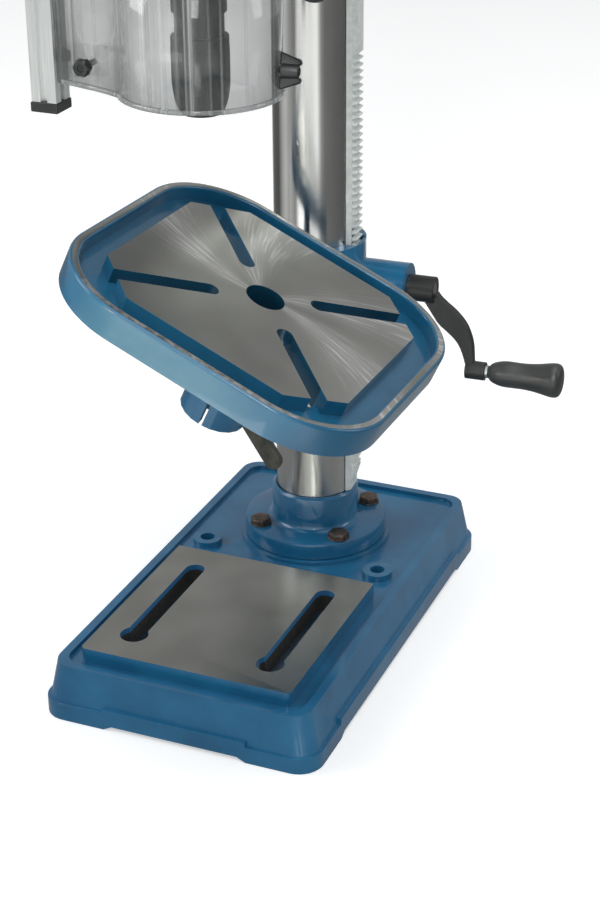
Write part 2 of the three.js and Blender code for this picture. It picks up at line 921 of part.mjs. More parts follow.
// The turning grip on the crank's pin, narrow at the arm and full at its round end.
function crankGrip() {
  const start = wormBossReach + gap + crankHubLength / 2 + crankReach + crankEndLength / 2 + gripStart;
  const shares = [
    [0.4, 0],
    [0.57, 0.04],
    [0.68, 0.12],
    [0.755, 0.22],
    [0.735, 0.44],
    [0.79, 0.63],
    [0.92, 0.78],
    [1, 0.88],
    [0.93, 0.96],
    [0.62, 1],
  ];
  const outline = shares.map(
    ([radiusShare, lengthShare]) => [gripRadius * radiusShare, start + gripLength * lengthShare],
  );
  const body = turned([[0, start], ...outline, [0, start + gripLength]], gripSides);
  const bore = disc(gripPinRadius + gap, start - overrun, start + gripLength / 2, fewSides);
  return alongX(body.subtract(bore), 0, 0, wormHeight - crankDrop);
}

// The flat lever that closes the bracket's sleeve, on a screw through both ears.
function columnClampLever() {
  const hubStart = clampEarWidth / 2 + gap;
  const barStart = leverReach - leverThickness;
  const screw = disc(leverScrewRadius, -clampEarWidth / 2, hubStart + gap, fewSides);
  const hub = disc(leverHubRadius, hubStart, leverReach);
  const bar = raised(slotShape([0, 0], [0, -leverLength], leverWidth), barStart, leverReach);
  const body = join(screw, hub, bar).rotate([0, 0, THREE.MathUtils.radToDeg(leverAngle)]);
  return alongFront(body, -clampReach, 0, clampHeight);
}

// Tilt arm: a disc against the bracket, a channel open underneath and the split ring round the stem.
function tiltArm() {
  const start = tiltFaceReach + gap;
  const discEnd = start + armDiscThickness;
  const ringLow = tableRise - ringBottomDepth;
  const ringHigh = tableRise - ringTopDepth;
  const half = armWidth / 2;
  const faceDisc = alongFront(disc(tiltBossRadius, start, discEnd, manySides), 0, 0, 0);
  const channel = block([-half, half], [-throat, -discEnd + overrun], [ringLow, ringHigh]);
  const hollow = block(
    [-half + armWall, half - armWall],
    [-throat + ringRadius - armWall, -discEnd],
    [ringLow - overrun, ringHigh - armWall],
  );
  const outer = moved(disc(ringRadius, ringLow, ringHigh), 0, -throat);
  const bore = moved(disc(stemDiameter / 2 + gap, ringLow - overrun, ringHigh + overrun), 0, -throat);
  const slit = block(
    [-ringSlit / 2, ringSlit / 2],
    [-throat - ringRadius - overrun, -throat],
    [ringLow - overrun, ringHigh + overrun],
  );
  const screwY = -throat - (ringRadius + stemDiameter / 2) / 2;
  const screwHole = alongX(
    disc(ringScrewRadius + gap, -ringRadius, ringRadius, fewSides),
    0,
    screwY,
    screwZ(),
  );
  const headHole = alongX(
    disc(ringScrewHeadRadius + gap, ringScrewReach, ringRadius, fewSides),
    0,
    screwY,
    screwZ(),
  );
  const boltHole = alongFront(disc(tiltBoltRadius + gap, 0, discEnd + overrun, fewSides), 0, 0, 0);
  return cut(join(faceDisc, cut(channel, hollow), outer), bore, slit, boltHole, screwHole, headHole);
}

// The ring's clamp screw lies this far above the tilt axis.
function screwZ() {
  return tableRise - ringTopDepth - ringScrewHeadRadius * 2;
}

// The tilt bolt, its head in the arm's channel and its shank in the bracket.
function tiltBolt() {
  const start = tiltFaceReach + gap + armDiscThickness + gap;
  const shank = disc(tiltBoltRadius, columnRadius + runningGap + overrun, start + gap, fewSides);
  const head = hexagon(tiltBoltHeadAcross, start, start + tiltBoltHeadHeight);
  return alongFront(shank.add(head), 0, 0, 0);
}

// The socket screw that closes the split ring, sunk in the ring's wall.
function ringClampScrew() {
  const screwY = -throat - (ringRadius + stemDiameter / 2) / 2;
  const headStart = ringScrewReach + gap;
  const screw = disc(ringScrewRadius, -ringScrewReach, headStart + gap, fewSides);
  const head = disc(ringScrewHeadRadius, headStart, headStart + ringScrewHeadLength, fewSides);
  return alongX(screw.add(head), 0, screwY, screwZ());
}

// Table: an apron and rim round a gutter, a slotted pad and a hollow stem below. Its top is at zero.
function table() {
  const half = tableSize / 2;
  const square = (inset) => roundedRectangle(
    [-half + inset, half - inset],
    [-half + inset, half - inset],
    tableCorner - inset,
  );
  const apron = raised(square(0), -tableHeight, 0);
  const gutter = raised(square(tableRim), -gutterDepth, overrun);
  const under = raised(square(tableRim + overrun), -tableHeight - overrun, -tablePlate);
  const pad = raised(padOutline(), -tablePlate, 0);
  const stem = disc(stemDiameter / 2, -stemDepth, -tablePlate + overrun);
  const centreHole = disc(tableHoleDiameter / 2, -stemDepth - overrun, overrun);
  let body = join(cut(apron, gutter, under), pad, stem).subtract(centreHole);
  for (let index = 0; index < 4; index += 1) {
    const angle = Math.PI / 4 + (index * Math.PI) / 2;
    const start = tableSlotStart + tableSlotWidth / 2;
    const end = slotEndRadius();
    const from = [start * Math.cos(angle), start * Math.sin(angle)];
    const to = [end * Math.cos(angle), end * Math.sin(angle)];
    const through = raised(slotShape(from, to, tableSlotWidth), -gutterDepth, overrun);
    const reach = (end - tableSlotWidth) / end;
    const deepTo = [to[0] * reach, to[1] * reach];
    const deep = raised(slotShape(from, deepTo, tableSlotWidth), -tableHeight - overrun, overrun);
    body = cut(body, through, deep);
  }
  return body;
}

// The distance from the table's centre to the pad's chamfered corners.
function slotEndRadius() {
  return (tablePadWidth / 2 + tablePadLength / 2 - tablePadChamfer) / Math.SQRT2;
}

function padOutline() {
  const halfX = tablePadWidth / 2;
  const halfY = tablePadLength / 2;
  const corners = [[1, 1], [-1, 1], [-1, -1], [1, -1]];
  const points = corners.flatMap(([signX, signY]) => {
    const onSide = [signX * halfX, signY * (halfY - tablePadChamfer)];
    const onEnd = [signX * (halfX - tablePadChamfer), signY * halfY];
    return signX * signY > 0 ? [onSide, onEnd] : [onEnd, onSide];
  });
  return polygon(points);
}

// Head casting: a long box with a round nose, clamped on the column, bored for the quill and the feed.
function headCasting() {
  const shape = new THREE.Shape();
  shape.moveTo(headHalfWidth, headBackReach - headCorner);
  shape.absarc(headHalfWidth - headCorner, headBackReach - headCorner, headCorner, 0, Math.PI / 2);
  shape.absarc(-headHalfWidth + headCorner, headBackReach - headCorner, headCorner, Math.PI / 2, Math.PI);
  shape.lineTo(-headHalfWidth, -columnRadius);
  shape.lineTo(-headNoseRadius, -columnRadius - headWall * 2);
  shape.absarc(0, spindleY, headNoseRadius, Math.PI, 2 * Math.PI);
  shape.lineTo(headNoseRadius, -columnRadius - headWall * 2);
  shape.lineTo(headHalfWidth, -columnRadius);
  shape.closePath();
  const pocketX = headNoseRadius - headWall;
  const pocketBack = -columnRadius - headWall;
  const pinion = feedPitchRadius + runningGap;
  const cuts = [
    disc(columnRadius + gap, headBottom - overrun, columnTop + gap, manySides),
    moved(disc(quillRadius + gap, headBottom - overrun, headTop - headWall, someSides), 0, spindleY),
    moved(disc(pulleySleeveRadius + runningGap, headBottom, headTop + overrun, someSides), 0, spindleY),
    block(
      [-pocketX, pocketX],
      [spindleY + quillRadius + headWall + pinion * 2, pocketBack],
      [headBottom - overrun, headTop - headWall],
    ),
    alongX(
      disc(feedShaftRadius + runningGap, -headNoseRadius - overrun, headNoseRadius + overrun, fewSides),
      0,
      feedY,
      feedHeight,
    ),
    alongX(disc(pinion, -quillRadius / 2 - gap, quillRadius / 2 + gap, someSides), 0, feedY, feedHeight),
  ];
  for (const side of [-1, 1]) {
    const hole = disc(rodRadius + gap, 0, rodLength, fewSides);
    cuts.push(alongFront(hole, (side * rodSpacing) / 2, headBackReach + overrun, rodHeight));
  }
  const lockHole = disc(buttonStemRadius + gap, rodSpacing / 2, headHalfWidth + overrun, fewSides);
  cuts.push(alongX(lockHole, 0, lockKnobReach, rodHeight));
  return cut(raised(shape, headBottom, headTop), ...cuts);
}

// Quill: the sleeve that slides in the head, bored for the two bearings and the spindle.
function quill() {
  const bore = spindleRadius + runningGap;
  const bearing = quillRadius - quillWall + gap;
  const body = disc(quillRadius, quillBottom, quillTop);
  return cut(
    body,
    disc(bore, quillBottom - overrun, quillTop + overrun, fewSides),
    disc(bearing, quillBottom - overrun, quillBottom + bearingHeight),
    disc(bearing, quillTop - bearingHeight, quillTop + overrun),
  );
}

function quillBearing(low) {
  const high = low + bearingHeight - gap;
  return ring(spindleRadius + gap + bearingLip, quillRadius - quillWall, low, high, someSides);
}

// Spindle: the nose that carries the chuck, and the long driven shaft above it.
function spindle() {
  const noseLow = chuckTop + gap;
  const noseHigh = quillBottom - gap;
  const profile = [
    [0, noseLow],
    [spindleNoseRadius, noseLow],
    [spindleNoseRadius, noseHigh],
    [spindleRadius, noseHigh],
    [spindleRadius, spindleTop],
    [0, spindleTop],
  ];
  return moved(turned(profile, fewSides), 0, spindleY);
}

// Keyless chuck: the inner body with its neck and top ring, bored for the jaws.
function chuckBody() {
  const low = chuckNoseBottom + chuckConeHeight;
  const profile = [
    [0, low],
    [chuckCoreRadius, low],
    [chuckCoreRadius, chuckSleeveTop + gap],
    [chuckNeckRadius, chuckSleeveTop + gap],
    [chuckNeckRadius, chuckNeckTop],
    [chuckRingRadius, chuckNeckTop + bearingLip],
    [chuckRingRadius, chuckTop],
    [0, chuckTop],
  ];
  const jawHole = disc(
    jawRadius + gap,
    low - overrun,
    chuckNoseBottom + jawRecess + jawLength + gap,
    fewSides,
  );
  return moved(turned(profile).subtract(jawHole), 0, spindleY);
}

// The chuck's outer sleeve, with its cone at the nose.
function chuckSleeve() {
  const inner = chuckCoreRadius + gap;
  const coneTop = chuckNoseBottom + chuckConeHeight;
  const nose = jawRadius + jawGap;
  const profile = [
    [nose, chuckNoseBottom],
    [chuckNoseRadius, chuckNoseBottom],
    [chuckConeRadius, coneTop],
    [chuckSleeveRadius, chuckBodyStart],
    [chuckSleeveRadius, chuckSleeveTop],
    [inner, chuckSleeveTop],
    [inner, coneTop - gap],
    [nose, coneTop - gap],
    [nose, chuckNoseBottom],
  ];
  return moved(turned(profile), 0, spindleY);
}

// One of the three jaws: a wedge of a round bar, with a flat gap to the next one.
function chuckJaw(index) {
  const low = chuckNoseBottom + jawRecess;
  const third = (2 * Math.PI) / 3;
  const middle = index * third;
  const backOff = jawGap / 2 / Math.sin(third / 2);
  const shape = new THREE.Shape();
  shape.moveTo(backOff * Math.cos(middle), backOff * Math.sin(middle));
  const reach = third / 2 - Math.asin(jawGap / 2 / jawRadius);
  shape.absarc(0, 0, jawRadius, middle - reach, middle + reach);
  shape.closePath();
  return moved(raised(shape, low, low + jawLength), 0, spindleY);
}

// Feed hub: the boss that carries the three arms, and its shaft through the head.
function feedHub() {
  const start = headNoseRadius + gap;
  const hubStart = start + depthCollarLength + gap;
  const profile = [
    [0, -headNoseRadius],
    [feedShaftRadius, -headNoseRadius],
    [feedShaftRadius, -quillRadius / 2],
    [feedPitchRadius, -quillRadius / 2],
    [feedPitchRadius, quillRadius / 2],
    [feedShaftRadius, quillRadius / 2],
    [feedShaftRadius, hubStart],
    [feedHubRadius, hubStart],
    [feedHubRadius, hubStart + feedHubLength],
    [0, hubStart + feedHubLength],
  ];
  let body = alongX(turned(profile), 0, feedY, feedHeight);
  for (let index = 0; index < 3; index += 1) {
    body = body.subtract(
      placedArm(disc(feedArmRadius + gap, feedHubRadius / 2, feedHubRadius * 2, fewSides), index),
    );
  }
  return body;
}

// Leans an arm's piece outwards and turns it round the feed shaft.
function placedArm(body, index) {
  const lean = THREE.MathUtils.radToDeg(Math.atan2(feedArmLean, feedArmReach));
  const turn = THREE.MathUtils.radToDeg(feedArmAngle) + index * 120;
  const hubMiddle = headNoseRadius + gap + depthCollarLength + gap + feedHubLength / 2;
  const leant = body.rotate([-90, 0, 0]).rotate([0, 0, -lean]);
  return leant.rotate([turn, 0, 0]).translate([hubMiddle, feedY, feedHeight]);
}

function feedArm(index) {
  const length = Math.hypot(feedArmReach, feedArmLean) - feedKnobRadius / 2;
  return placedArm(disc(feedArmRadius, feedHubRadius / 2 + gap, length, fewSides), index);
}

// A ball knob with a flat, threaded on the arm's end.
function feedKnob(index) {
  const length = Math.hypot(feedArmReach, feedArmLean);
  const ball = new THREE.SphereGeometry(feedKnobRadius, fewSides, fewSides / 2);
  const socket = disc(feedArmRadius + gap, -feedKnobRadius * 2, -feedKnobRadius / 2 + gap, fewSides);
  return placedArm(solid(ball).subtract(socket).translate([0, 0, length]), index);
}

// The depth stop's turning collar, between the head and the feed hub.
function depthCollar() {
  const start = headNoseRadius + gap;
  return alongX(
    ring(feedShaftRadius + gap, depthCollarRadius, start, start + depthCollarLength),
    0,
    feedY,
    feedHeight,
  );
}

// The cup over the quill's return spring, on the other side of the head.
function springCover() {
  const face = -headNoseRadius - gap;
  const end = face - springCoverLength;
  const profile = [
    [0, end],
    [springCoverRadius - collarBevel, end],
    [springCoverRadius, end + collarBevel],
    [springCoverRadius, face],
    [0, face],
  ];
  return alongX(turned(profile), 0, feedY, feedHeight);
}

// A stepped V pulley about Z, its steps smaller or larger going up, on a bored hub of its own profile.
function steppedPulley(largest, hubProfile, upwards) {
  const steps = 3;
  const stepHeight = pulleyHeight / steps;
  const low = pulleyLow();
  const profile = [...hubProfile];
  for (let step = 0; step < steps; step += 1) {
    const radius = largest - pulleyStepDrop * (upwards ? steps - 1 - step : step);
    const start = low + step * stepHeight;
    profile.push([radius, start]);
    profile.push([radius, start + (stepHeight - beltWidth) / 2]);
    profile.push([radius - grooveDepth, start + stepHeight / 2 - beltWidth / 3]);
    profile.push([radius - grooveDepth, start + stepHeight / 2 + beltWidth / 3]);
    profile.push([radius, start + (stepHeight + beltWidth) / 2]);
    profile.push([radius, start + stepHeight]);
  }
  profile.push([hubProfile[0][0], low + pulleyHeight]);
  profile.push(hubProfile[0]);
  return turned(profile, someSides);
}

function pulleyLow() {
  return headTop + gap + housingWall + pulleyLift;
}

function spindlePulley() {
  const low = headTop - headWall + gap;
  const hub = [
    [spindleRadius + runningGap, low],
    [pulleySleeveRadius, low],
    [pulleySleeveRadius, pulleyLow()],
  ];
  return moved(steppedPulley(spindlePulleyRadius, hub, false), 0, spindleY);
}

function motorPulley() {
  return moved(
    steppedPulley(motorPulleyRadius, [[motorShaftRadius + gap, pulleyLow()]], true),
    0,
    motorReach,
  );
}

// The belt on the middle steps of both pulleys.
function driveBelt() {
  const middle = pulleyLow() + pulleyHeight / 2;
  const front = spindlePulleyRadius - pulleyStepDrop - grooveDepth + runningGap * 2;
  const back = motorPulleyRadius - pulleyStepDrop - grooveDepth + runningGap * 2;
  const outline = (extra) => {
    const a = front + extra;
    const b = back + extra;
    const lean = Math.asin((a - b) / (throat + motorReach));
    const shape = new THREE.Shape();
    shape.absarc(0, motorReach, b, lean, Math.PI - lean);
    shape.absarc(0, spindleY, a, Math.PI - lean, 2 * Math.PI + lean);
    shape.closePath();
    return shape;
  };
  const half = beltWidth / 3 - gap;
  const steps = fewSides;
  return raised(outline(beltThickness), middle - half, middle + half, steps).subtract(
    raised(outline(0), middle - beltWidth, middle + beltWidth, steps),
  );
}

// The plan of the belt housing: round at both ends, from the spindle to the motor.
function housingOutline(inset) {
  const shape = new THREE.Shape();
  const radius = housingRadius - inset;
  shape.absarc(0, motorReach, radius, 0, Math.PI);
  shape.absarc(0, spindleY, radius, Math.PI, 2 * Math.PI);
  shape.closePath();
  return shape;
}

// The open tray under the belt, screwed on the head, with its hinge lug at the left.
function beltHousing() {
  const low = headTop + gap;
  const shell = raised(housingOutline(0), low, low + housingHeight);
  const inside = raised(housingOutline(housingWall), low + housingWall, low + housingHeight + overrun);
  const spindleHole = moved(
    disc(pulleySleeveRadius + runningGap, low - overrun, low + housingHeight),
    0,
    spindleY,
  );
  const travel = motorPlateReach - headBackReach;
  const motorSlot = slotShape([0, motorReach - travel], [0, motorReach], (motorShaftRadius + overrun) * 2);
  const motorHole = raised(motorSlot, low - overrun, low + housingHeight);
  return cut(shell, inside, spindleHole, motorHole).add(hingeLug(-1));
}

// A lug of the lid's hinge at the left edge.
// The tray's lies in front and below, and the lid's behind and above.
function hingeLug(side) {
  const length = housingRadius / 2;
  const z = headTop + gap + housingHeight + gap / 2;
  const x = -housingRadius - hingeRadius - gap;
  const barrel = alongFront(disc(hingeRadius, 0, length - gap, fewSides), x, 0, z);
  const heights = side < 0 ? [z - hingeRadius * 2, z] : [z, z + hingeRadius * 2];
  const root = block([x - hingeRadius, -housingRadius + housingWall / 2], [-length + gap, 0], heights);
  return barrel.add(root).translate([0, side < 0 ? 0 : length, 0]);
}

// The hinged lid over the belt and the pulleys.
function beltCover() {
  const low = headTop + gap + housingHeight + gap;
  const shell = raised(housingOutline(0), low, low + coverHeight);
  const inside = raised(housingOutline(housingWall), low - overrun, low + coverHeight - housingWall);
  return cut(shell, inside).add(hingeLug(1));
}

function lidKnob() {
  const low = headTop + gap + housingHeight + gap + coverHeight + gap;
  const profile = [
    [0, low],
    [lidKnobRadius / 2, low],
    [lidKnobRadius / 2, low + lidKnobHeight / 3],
    [lidKnobRadius, low + lidKnobHeight / 2],
    [lidKnobRadius, low + lidKnobHeight],
    [0, low + lidKnobHeight],
  ];
  return moved(turned(profile, fewSides), 0, spindleY);
}

// The motor hangs behind the column: a ribbed can on a foot, its shaft up through the tray.
function motor() {
  const profile = [
    [0, motorBottom],
    [motorRadius - collarBevel * 2, motorBottom],
    [motorRadius, motorBottom + collarBevel * 2],
    [motorRadius, motorTop - collarBevel * 2],
    [motorRadius - collarBevel * 2, motorTop],
    [motorShaftRadius, motorTop],
    [motorShaftRadius, pulleyLow() + pulleyHeight],
    [0, pulleyLow() + pulleyHeight],
  ];
  const plateBack = motorPlateReach + motorPlateThickness + gap;
  const foot = block(
    [-motorFootWidth / 2, motorFootWidth / 2],
    [plateBack, plateBack + motorFootDepth],
    [motorPlateBottom + motorPlateThickness, motorPlateTop - motorPlateThickness],
  );
  return moved(turned(profile), 0, motorReach).add(foot);
}

function motorPlate() {
  const half = motorPlateWidth / 2;
  const low = [motorPlateReach, motorPlateReach + motorPlateThickness];
  const body = block([-half, half], low, [motorPlateBottom, motorPlateTop]);
  return cut(body, rodHole(-1), rodHole(1));
}

function rodHole(side) {
  const end = motorPlateReach + motorPlateThickness + overrun;
  const hole = disc(rodRadius + gap, 0, motorPlateThickness + overrun * 2, fewSides);
  return alongFront(hole, (side * rodSpacing) / 2, end, rodHeight);
}

function slideRod(side) {
  const end = motorPlateReach + motorPlateThickness;
  const length = end - headBackReach + rodLength / 2;
  return alongFront(disc(rodRadius, 0, length, fewSides), (side * rodSpacing) / 2, end, rodHeight);
}

// The knob that locks the slide rods when the belt is tight.
function tensionLockKnob() {
  const face = headHalfWidth + gap;
  const start = rodSpacing / 2 + rodRadius + gap;
  const body = join(
    disc(buttonStemRadius, start, face + gap, fewSides),
    disc(lockKnobRadius / 2, face, face + lockKnobLength / 2, fewSides),
    disc(lockKnobRadius, face + lockKnobLength / 3, face + lockKnobLength, fewSides),
  );
  return alongX(body, 0, lockKnobReach, rodHeight);
}

// Switch box on the head's left side, bored for its two buttons.
function switchBox() {
  const right = -headNoseRadius - gap;
  const front = -switchFrontReach;
  const body = block(
    [right - switchWidth, right],
    [front, front + switchDepth],
    [switchBottom, switchBottom + switchHeight],
  );
  const holes = [0, 1].map((index) => {
    const depth = buttonLength + buttonTravel + overrun;
    return alongFront(
      disc(buttonRadius + runningGap, -depth, overrun, fewSides),
      switchX(),
      front,
      buttonHeight(index),
    );
  });
  return cut(body, ...holes);
}

function switchX() {
  return -headNoseRadius - gap - switchWidth / 2;
}

function buttonHeight(index) {
  return switchBottom + switchHeight / 2 + (index - 1 / 2) * buttonSpacing;
}

function pushButton(index) {
  const body = disc(buttonRadius, -buttonLength, buttonTravel, fewSides);
  return alongFront(body, switchX(), -switchFrontReach, buttonHeight(index));
}

// The guard's plan: a flat leaf from the post, a bend, and an arc round the chuck.
function guardShield() {
  const bend = [-guardBendReach, spindleY - guardBendDepth];
  const leaf = [-guardLeafReach, spindleY - guardLeafDepth];
  const outer = guardRadius;
  const inner = guardRadius - guardThickness;
  const shape = new THREE.Shape();
  shape.moveTo(leaf[0], leaf[1]);
  shape.lineTo(bend[0], bend[1]);
  shape.absarc(0, spindleY, outer, guardArcStart, guardArcEnd);
  shape.absarc(0, spindleY, inner, guardArcEnd, guardArcStart, true);
  shape.lineTo(bend[0], bend[1] + guardThickness);
  shape.lineTo(leaf[0], leaf[1] + guardThickness);
  shape.closePath();
  const holeRadius = guardScrewRadius + runningGap;
  const hole = disc(holeRadius, 0, guardHoleLength, fewSides);
  const screwHole = alongFront(hole, guardScrewX(), guardScrewY() + guardThickness * 2, guardScrewZ());
  const wingHole = placedWing(disc(holeRadius, inner - overrun, outer + overrun, fewSides));
  return cut(raised(shape, guardBottom, guardTop, fewSides), screwHole, wingHole);
}

function guardScrewX() {
  return -guardScrewReach;
}

// The leaf's front face at the guard's screw.
function guardScrewY() {
  const share = (guardLeafReach + guardScrewX()) / (guardLeafReach - guardBendReach);
  return spindleY - guardLeafDepth - (guardBendDepth - guardLeafDepth) * share;
}

function guardScrewZ() {
  return sliderBottom + sliderHeight / 2;
}

// The grooved aluminium post that carries the guard, with a turning pin at its top.
function guardPost() {
  const x = -postReach;
  const y = spindleY - postDepth;
  const half = postSize / 2;
  const body = block([x - half, x + half], [y - half, y + half], [postBottom, postTop]);
  const grooves = [0, 1, 2, 3].map((index) => {
    const groove = block(
      [half - postSlotDepth, half + overrun],
      [-postSlot / 2, postSlot / 2],
      [postBottom - overrun, postTop + overrun],
    );
    return groove.rotate([0, 0, index * 90]).translate([x, y, 0]);
  });
  const pin = moved(disc(postPinRadius, postTop - overrun, postTop + postPinLength, fewSides), x, y);
  return cut(body, ...grooves).add(pin);
}

// The plastic cap on the post's lower end stands out a little all round.
function postEndCap() {
  const x = -postReach;
  const y = spindleY - postDepth;
  const half = postSize / 2 + capOverhang;
  return block(
    [x - half, x + half],
    [y - half, y + half],
    [postBottom - gap - capHeight, postBottom - gap],
  );
}

// The block between the post and the guard's leaf, which the guard's screw is threaded into.
function guardSlider() {
  const left = -postReach + postSize / 2 + gap;
  const front = spindleY - guardLeafDepth + guardThickness + gap * 2;
  const tongue = block(
    [left - postSlotDepth + gap, left + overrun],
    [spindleY - postDepth - postSlot / 2 + gap, spindleY - postDepth + postSlot / 2 - gap],
    [sliderBottom, sliderBottom + sliderHeight],
  );
  const body = block(
    [left, left + sliderWidth],
    [front, front + sliderDepth],
    [sliderBottom, sliderBottom + sliderHeight],
  );
  const back = front + sliderDepth + overrun;
  const hole = disc(guardScrewRadius + runningGap, 0, back - guardScrewY(), fewSides);
  return join(body, tongue).subtract(alongFront(hole, guardScrewX(), back, guardScrewZ()));
}

function guardScrew() {
  const face = guardScrewY() - guardKnobStandoff;
  const shank = disc(guardScrewRadius, -guardKnobStandoff - guardLeafDepth, gap, fewSides);
  const knob = disc(guardKnobRadius, 0, guardKnobLength, fewSides);
  return alongFront(shank.add(knob), guardScrewX(), face, guardScrewZ());
}

// The arm on the head's side that holds the guard post's pin.
function guardBracket() {
  const x = -postReach;
  const y = spindleY - postDepth;
  const low = postTop + gap;
  const arm = block(
    [x, -headNoseRadius + headWall],
    [y - guardArmWidth / 2, y + guardArmWidth / 2],
    [low, low + guardArmHeight],
  );
  const eye = moved(disc(guardArmWidth / 2, low, low + guardArmHeight), x, y);
  const bore = moved(
    disc(postPinRadius + gap, low - overrun, low + guardArmHeight + overrun, fewSides),
    x,
    y,
  );
  const top = low + guardArmHeight + overrun;
  const nose = moved(disc(headNoseRadius + gap, low - overrun, top, manySides), 0, spindleY);
  const side = block([-headNoseRadius - gap, 0], [spindleY, 0], [low - overrun, top]);
  return cut(join(arm, eye), bore, nose, side);
}

// Turns a piece about Z outwards along the guard's radius, at the wing nut's place.
function placedWing(body) {
  const turn = THREE.MathUtils.radToDeg(wingAngle);
  return body.rotate([0, 90, 0]).rotate([0, 0, turn]).translate([0, spindleY, wingNutHeight]);
}

// Wing nut and its screw through the guard, which clamps the guard's sliding part.
function guardWingNut() {
  const start = guardRadius + gap;
  const shank = disc(guardScrewRadius, guardRadius - guardThickness * 2, start + gap, fewSides);
  const hub = disc(wingHubRadius, start, start + wingHubLength, fewSides);
  const wings = block(
    [-wingSpan / 2, wingSpan / 2],
    [-wingThickness / 2, wingThickness / 2],
    [start + overrun, start + wingHubLength + overrun],
  );
  return placedWing(join(shank, hub, wings));
}

const machine = new THREE.Group();
addPiece(machine, "base", baseCasting(), bluePaint);
addPiece(machine, "column_flange", columnFlange(), bluePaint);
boltAngles().forEach((angle, index) => {
  addPiece(machine, `flange_bolt_${index + 1}`, flangeBolt(angle), blackOxide);
});
addPiece(machine, "column", column(), polishedSteel);
addPiece(machine, "rack_ring", rackRing(), zinc);

const bracket = new THREE.Group();
bracket.rotation.z = swingAngle;
machine.add(bracket);
addPiece(bracket, "rack", rack(), zinc);
addPiece(bracket, "table_bracket", tableBracket(), bluePaint);
const gear = addPiece(bracket, "lift_gear", liftGear(), zinc);
gear.rotation.x = Math.PI / 2;
gear.position.set(gearAxisX(), 0, wormHeight - wormCentreDistance);
addPiece(bracket, "gear_pin", gearPin(), polishedSteel);
addPiece(bracket, "worm_shaft", wormShaft(), zinc);
addPiece(bracket, "crank_arm", crankArm(), blackPaint);
addPiece(bracket, "crank_grip", crankGrip(), blackPlastic);
addPiece(bracket, "column_clamp_lever", columnClampLever(), blackPaint);

const tilting = new THREE.Group();
tilting.position.z = tiltPivotHeight;
tilting.rotation.y = tiltAngle;
bracket.add(tilting);
addPiece(tilting, "tilt_arm", tiltArm(), bluePaint);
addPiece(tilting, "tilt_bolt", tiltBolt(), blackOxide);
addPiece(tilting, "ring_clamp_screw", ringClampScrew(), blackOxide);

const turning = new THREE.Group();
turning.position.set(0, -throat, tableRise);
turning.rotation.z = turnAngle;
tilting.add(turning);
addPiece(turning, "table", table(), bluePaint);

addPiece(machine, "head_casting", headCasting(), bluePaint);
addPiece(machine, "quill", moved(quill(), 0, spindleY), polishedSteel);
addPiece(machine, "lower_bearing", moved(quillBearing(quillBottom), 0, spindleY), polishedSteel);
addPiece(
  machine,
  "upper_bearing",
  moved(quillBearing(quillTop - bearingHeight + gap), 0, spindleY),
  polishedSteel,
);
addPiece(machine, "spindle", spindle(), polishedSteel);
addPiece(machine, "chuck_body", chuckBody(), blackOxide);
addPiece(machine, "chuck_sleeve", chuckSleeve(), blackOxide);
addPiece(machine, "feed_hub", feedHub(), polishedSteel);
for (let index = 0; index < 3; index += 1) {
  addPiece(machine, `chuck_jaw_${index + 1}`, chuckJaw(index), blackOxide);
  addPiece(machine, `feed_arm_${index + 1}`, feedArm(index), polishedSteel);
  addPiece(machine, `feed_knob_${index + 1}`, feedKnob(index), blackPlastic);
}
addPiece(machine, "depth_collar", depthCollar(), zinc);
addPiece(machine, "spring_cover", springCover(), blackPaint);
addPiece(machine, "spindle_pulley", spindlePulley(), aluminium);
addPiece(machine, "motor_pulley", motorPulley(), aluminium);
addPiece(machine, "drive_belt", driveBelt(), rubber);
addPiece(machine, "belt_housing", beltHousing(), bluePaint);
addPiece(machine, "belt_cover", beltCover(), bluePaint);
addPiece(machine, "lid_knob", lidKnob(), blackPlastic);
addPiece(machine, "motor", motor(), bluePaint);
addPiece(machine, "motor_plate", motorPlate(), blackPaint);
addPiece(machine, "slide_rod_left", slideRod(-1), polishedSteel);
addPiece(machine, "slide_rod_right", slideRod(1), polishedSteel);
addPiece(machine, "tension_lock_knob", tensionLockKnob(), blackPlastic);
addPiece(machine, "switch_box", switchBox(), blackPlastic);
addPiece(machine, "start_button", pushButton(1), greenPlastic);
addPiece(machine, "stop_button", pushButton(0), redPlastic);
addPiece(machine, "guard_bracket", guardBracket(), blackPaint);
addPiece(machine, "guard_post", guardPost(), aluminium);
addPiece(machine, "post_end_cap", postEndCap(), blackPlastic);
addPiece(machine, "guard_slider", guardSlider(), blackPlastic);
addPiece(machine, "guard_shield", guardShield(), clearPlastic);
addPiece(machine, "guard_screw", guardScrew(), blackPlastic);
addPiece(machine, "guard_wing_nut", guardWingNut(), blackPlastic);

export default machine;
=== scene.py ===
# %% [markdown]
# A bench pillar drill
#
# This lesson dresses a bench pillar drill in Blender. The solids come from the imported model, each in its
# place. The cells set up the studio, make the finishes, and make finer pieces that stand for plain
# solids. Castings keep their shape and get rounded edges, and turned parts are spun with more steps.

# %% Loading the frame
import json
import math

import bmesh
import bpy
from mathutils import Matrix, Vector


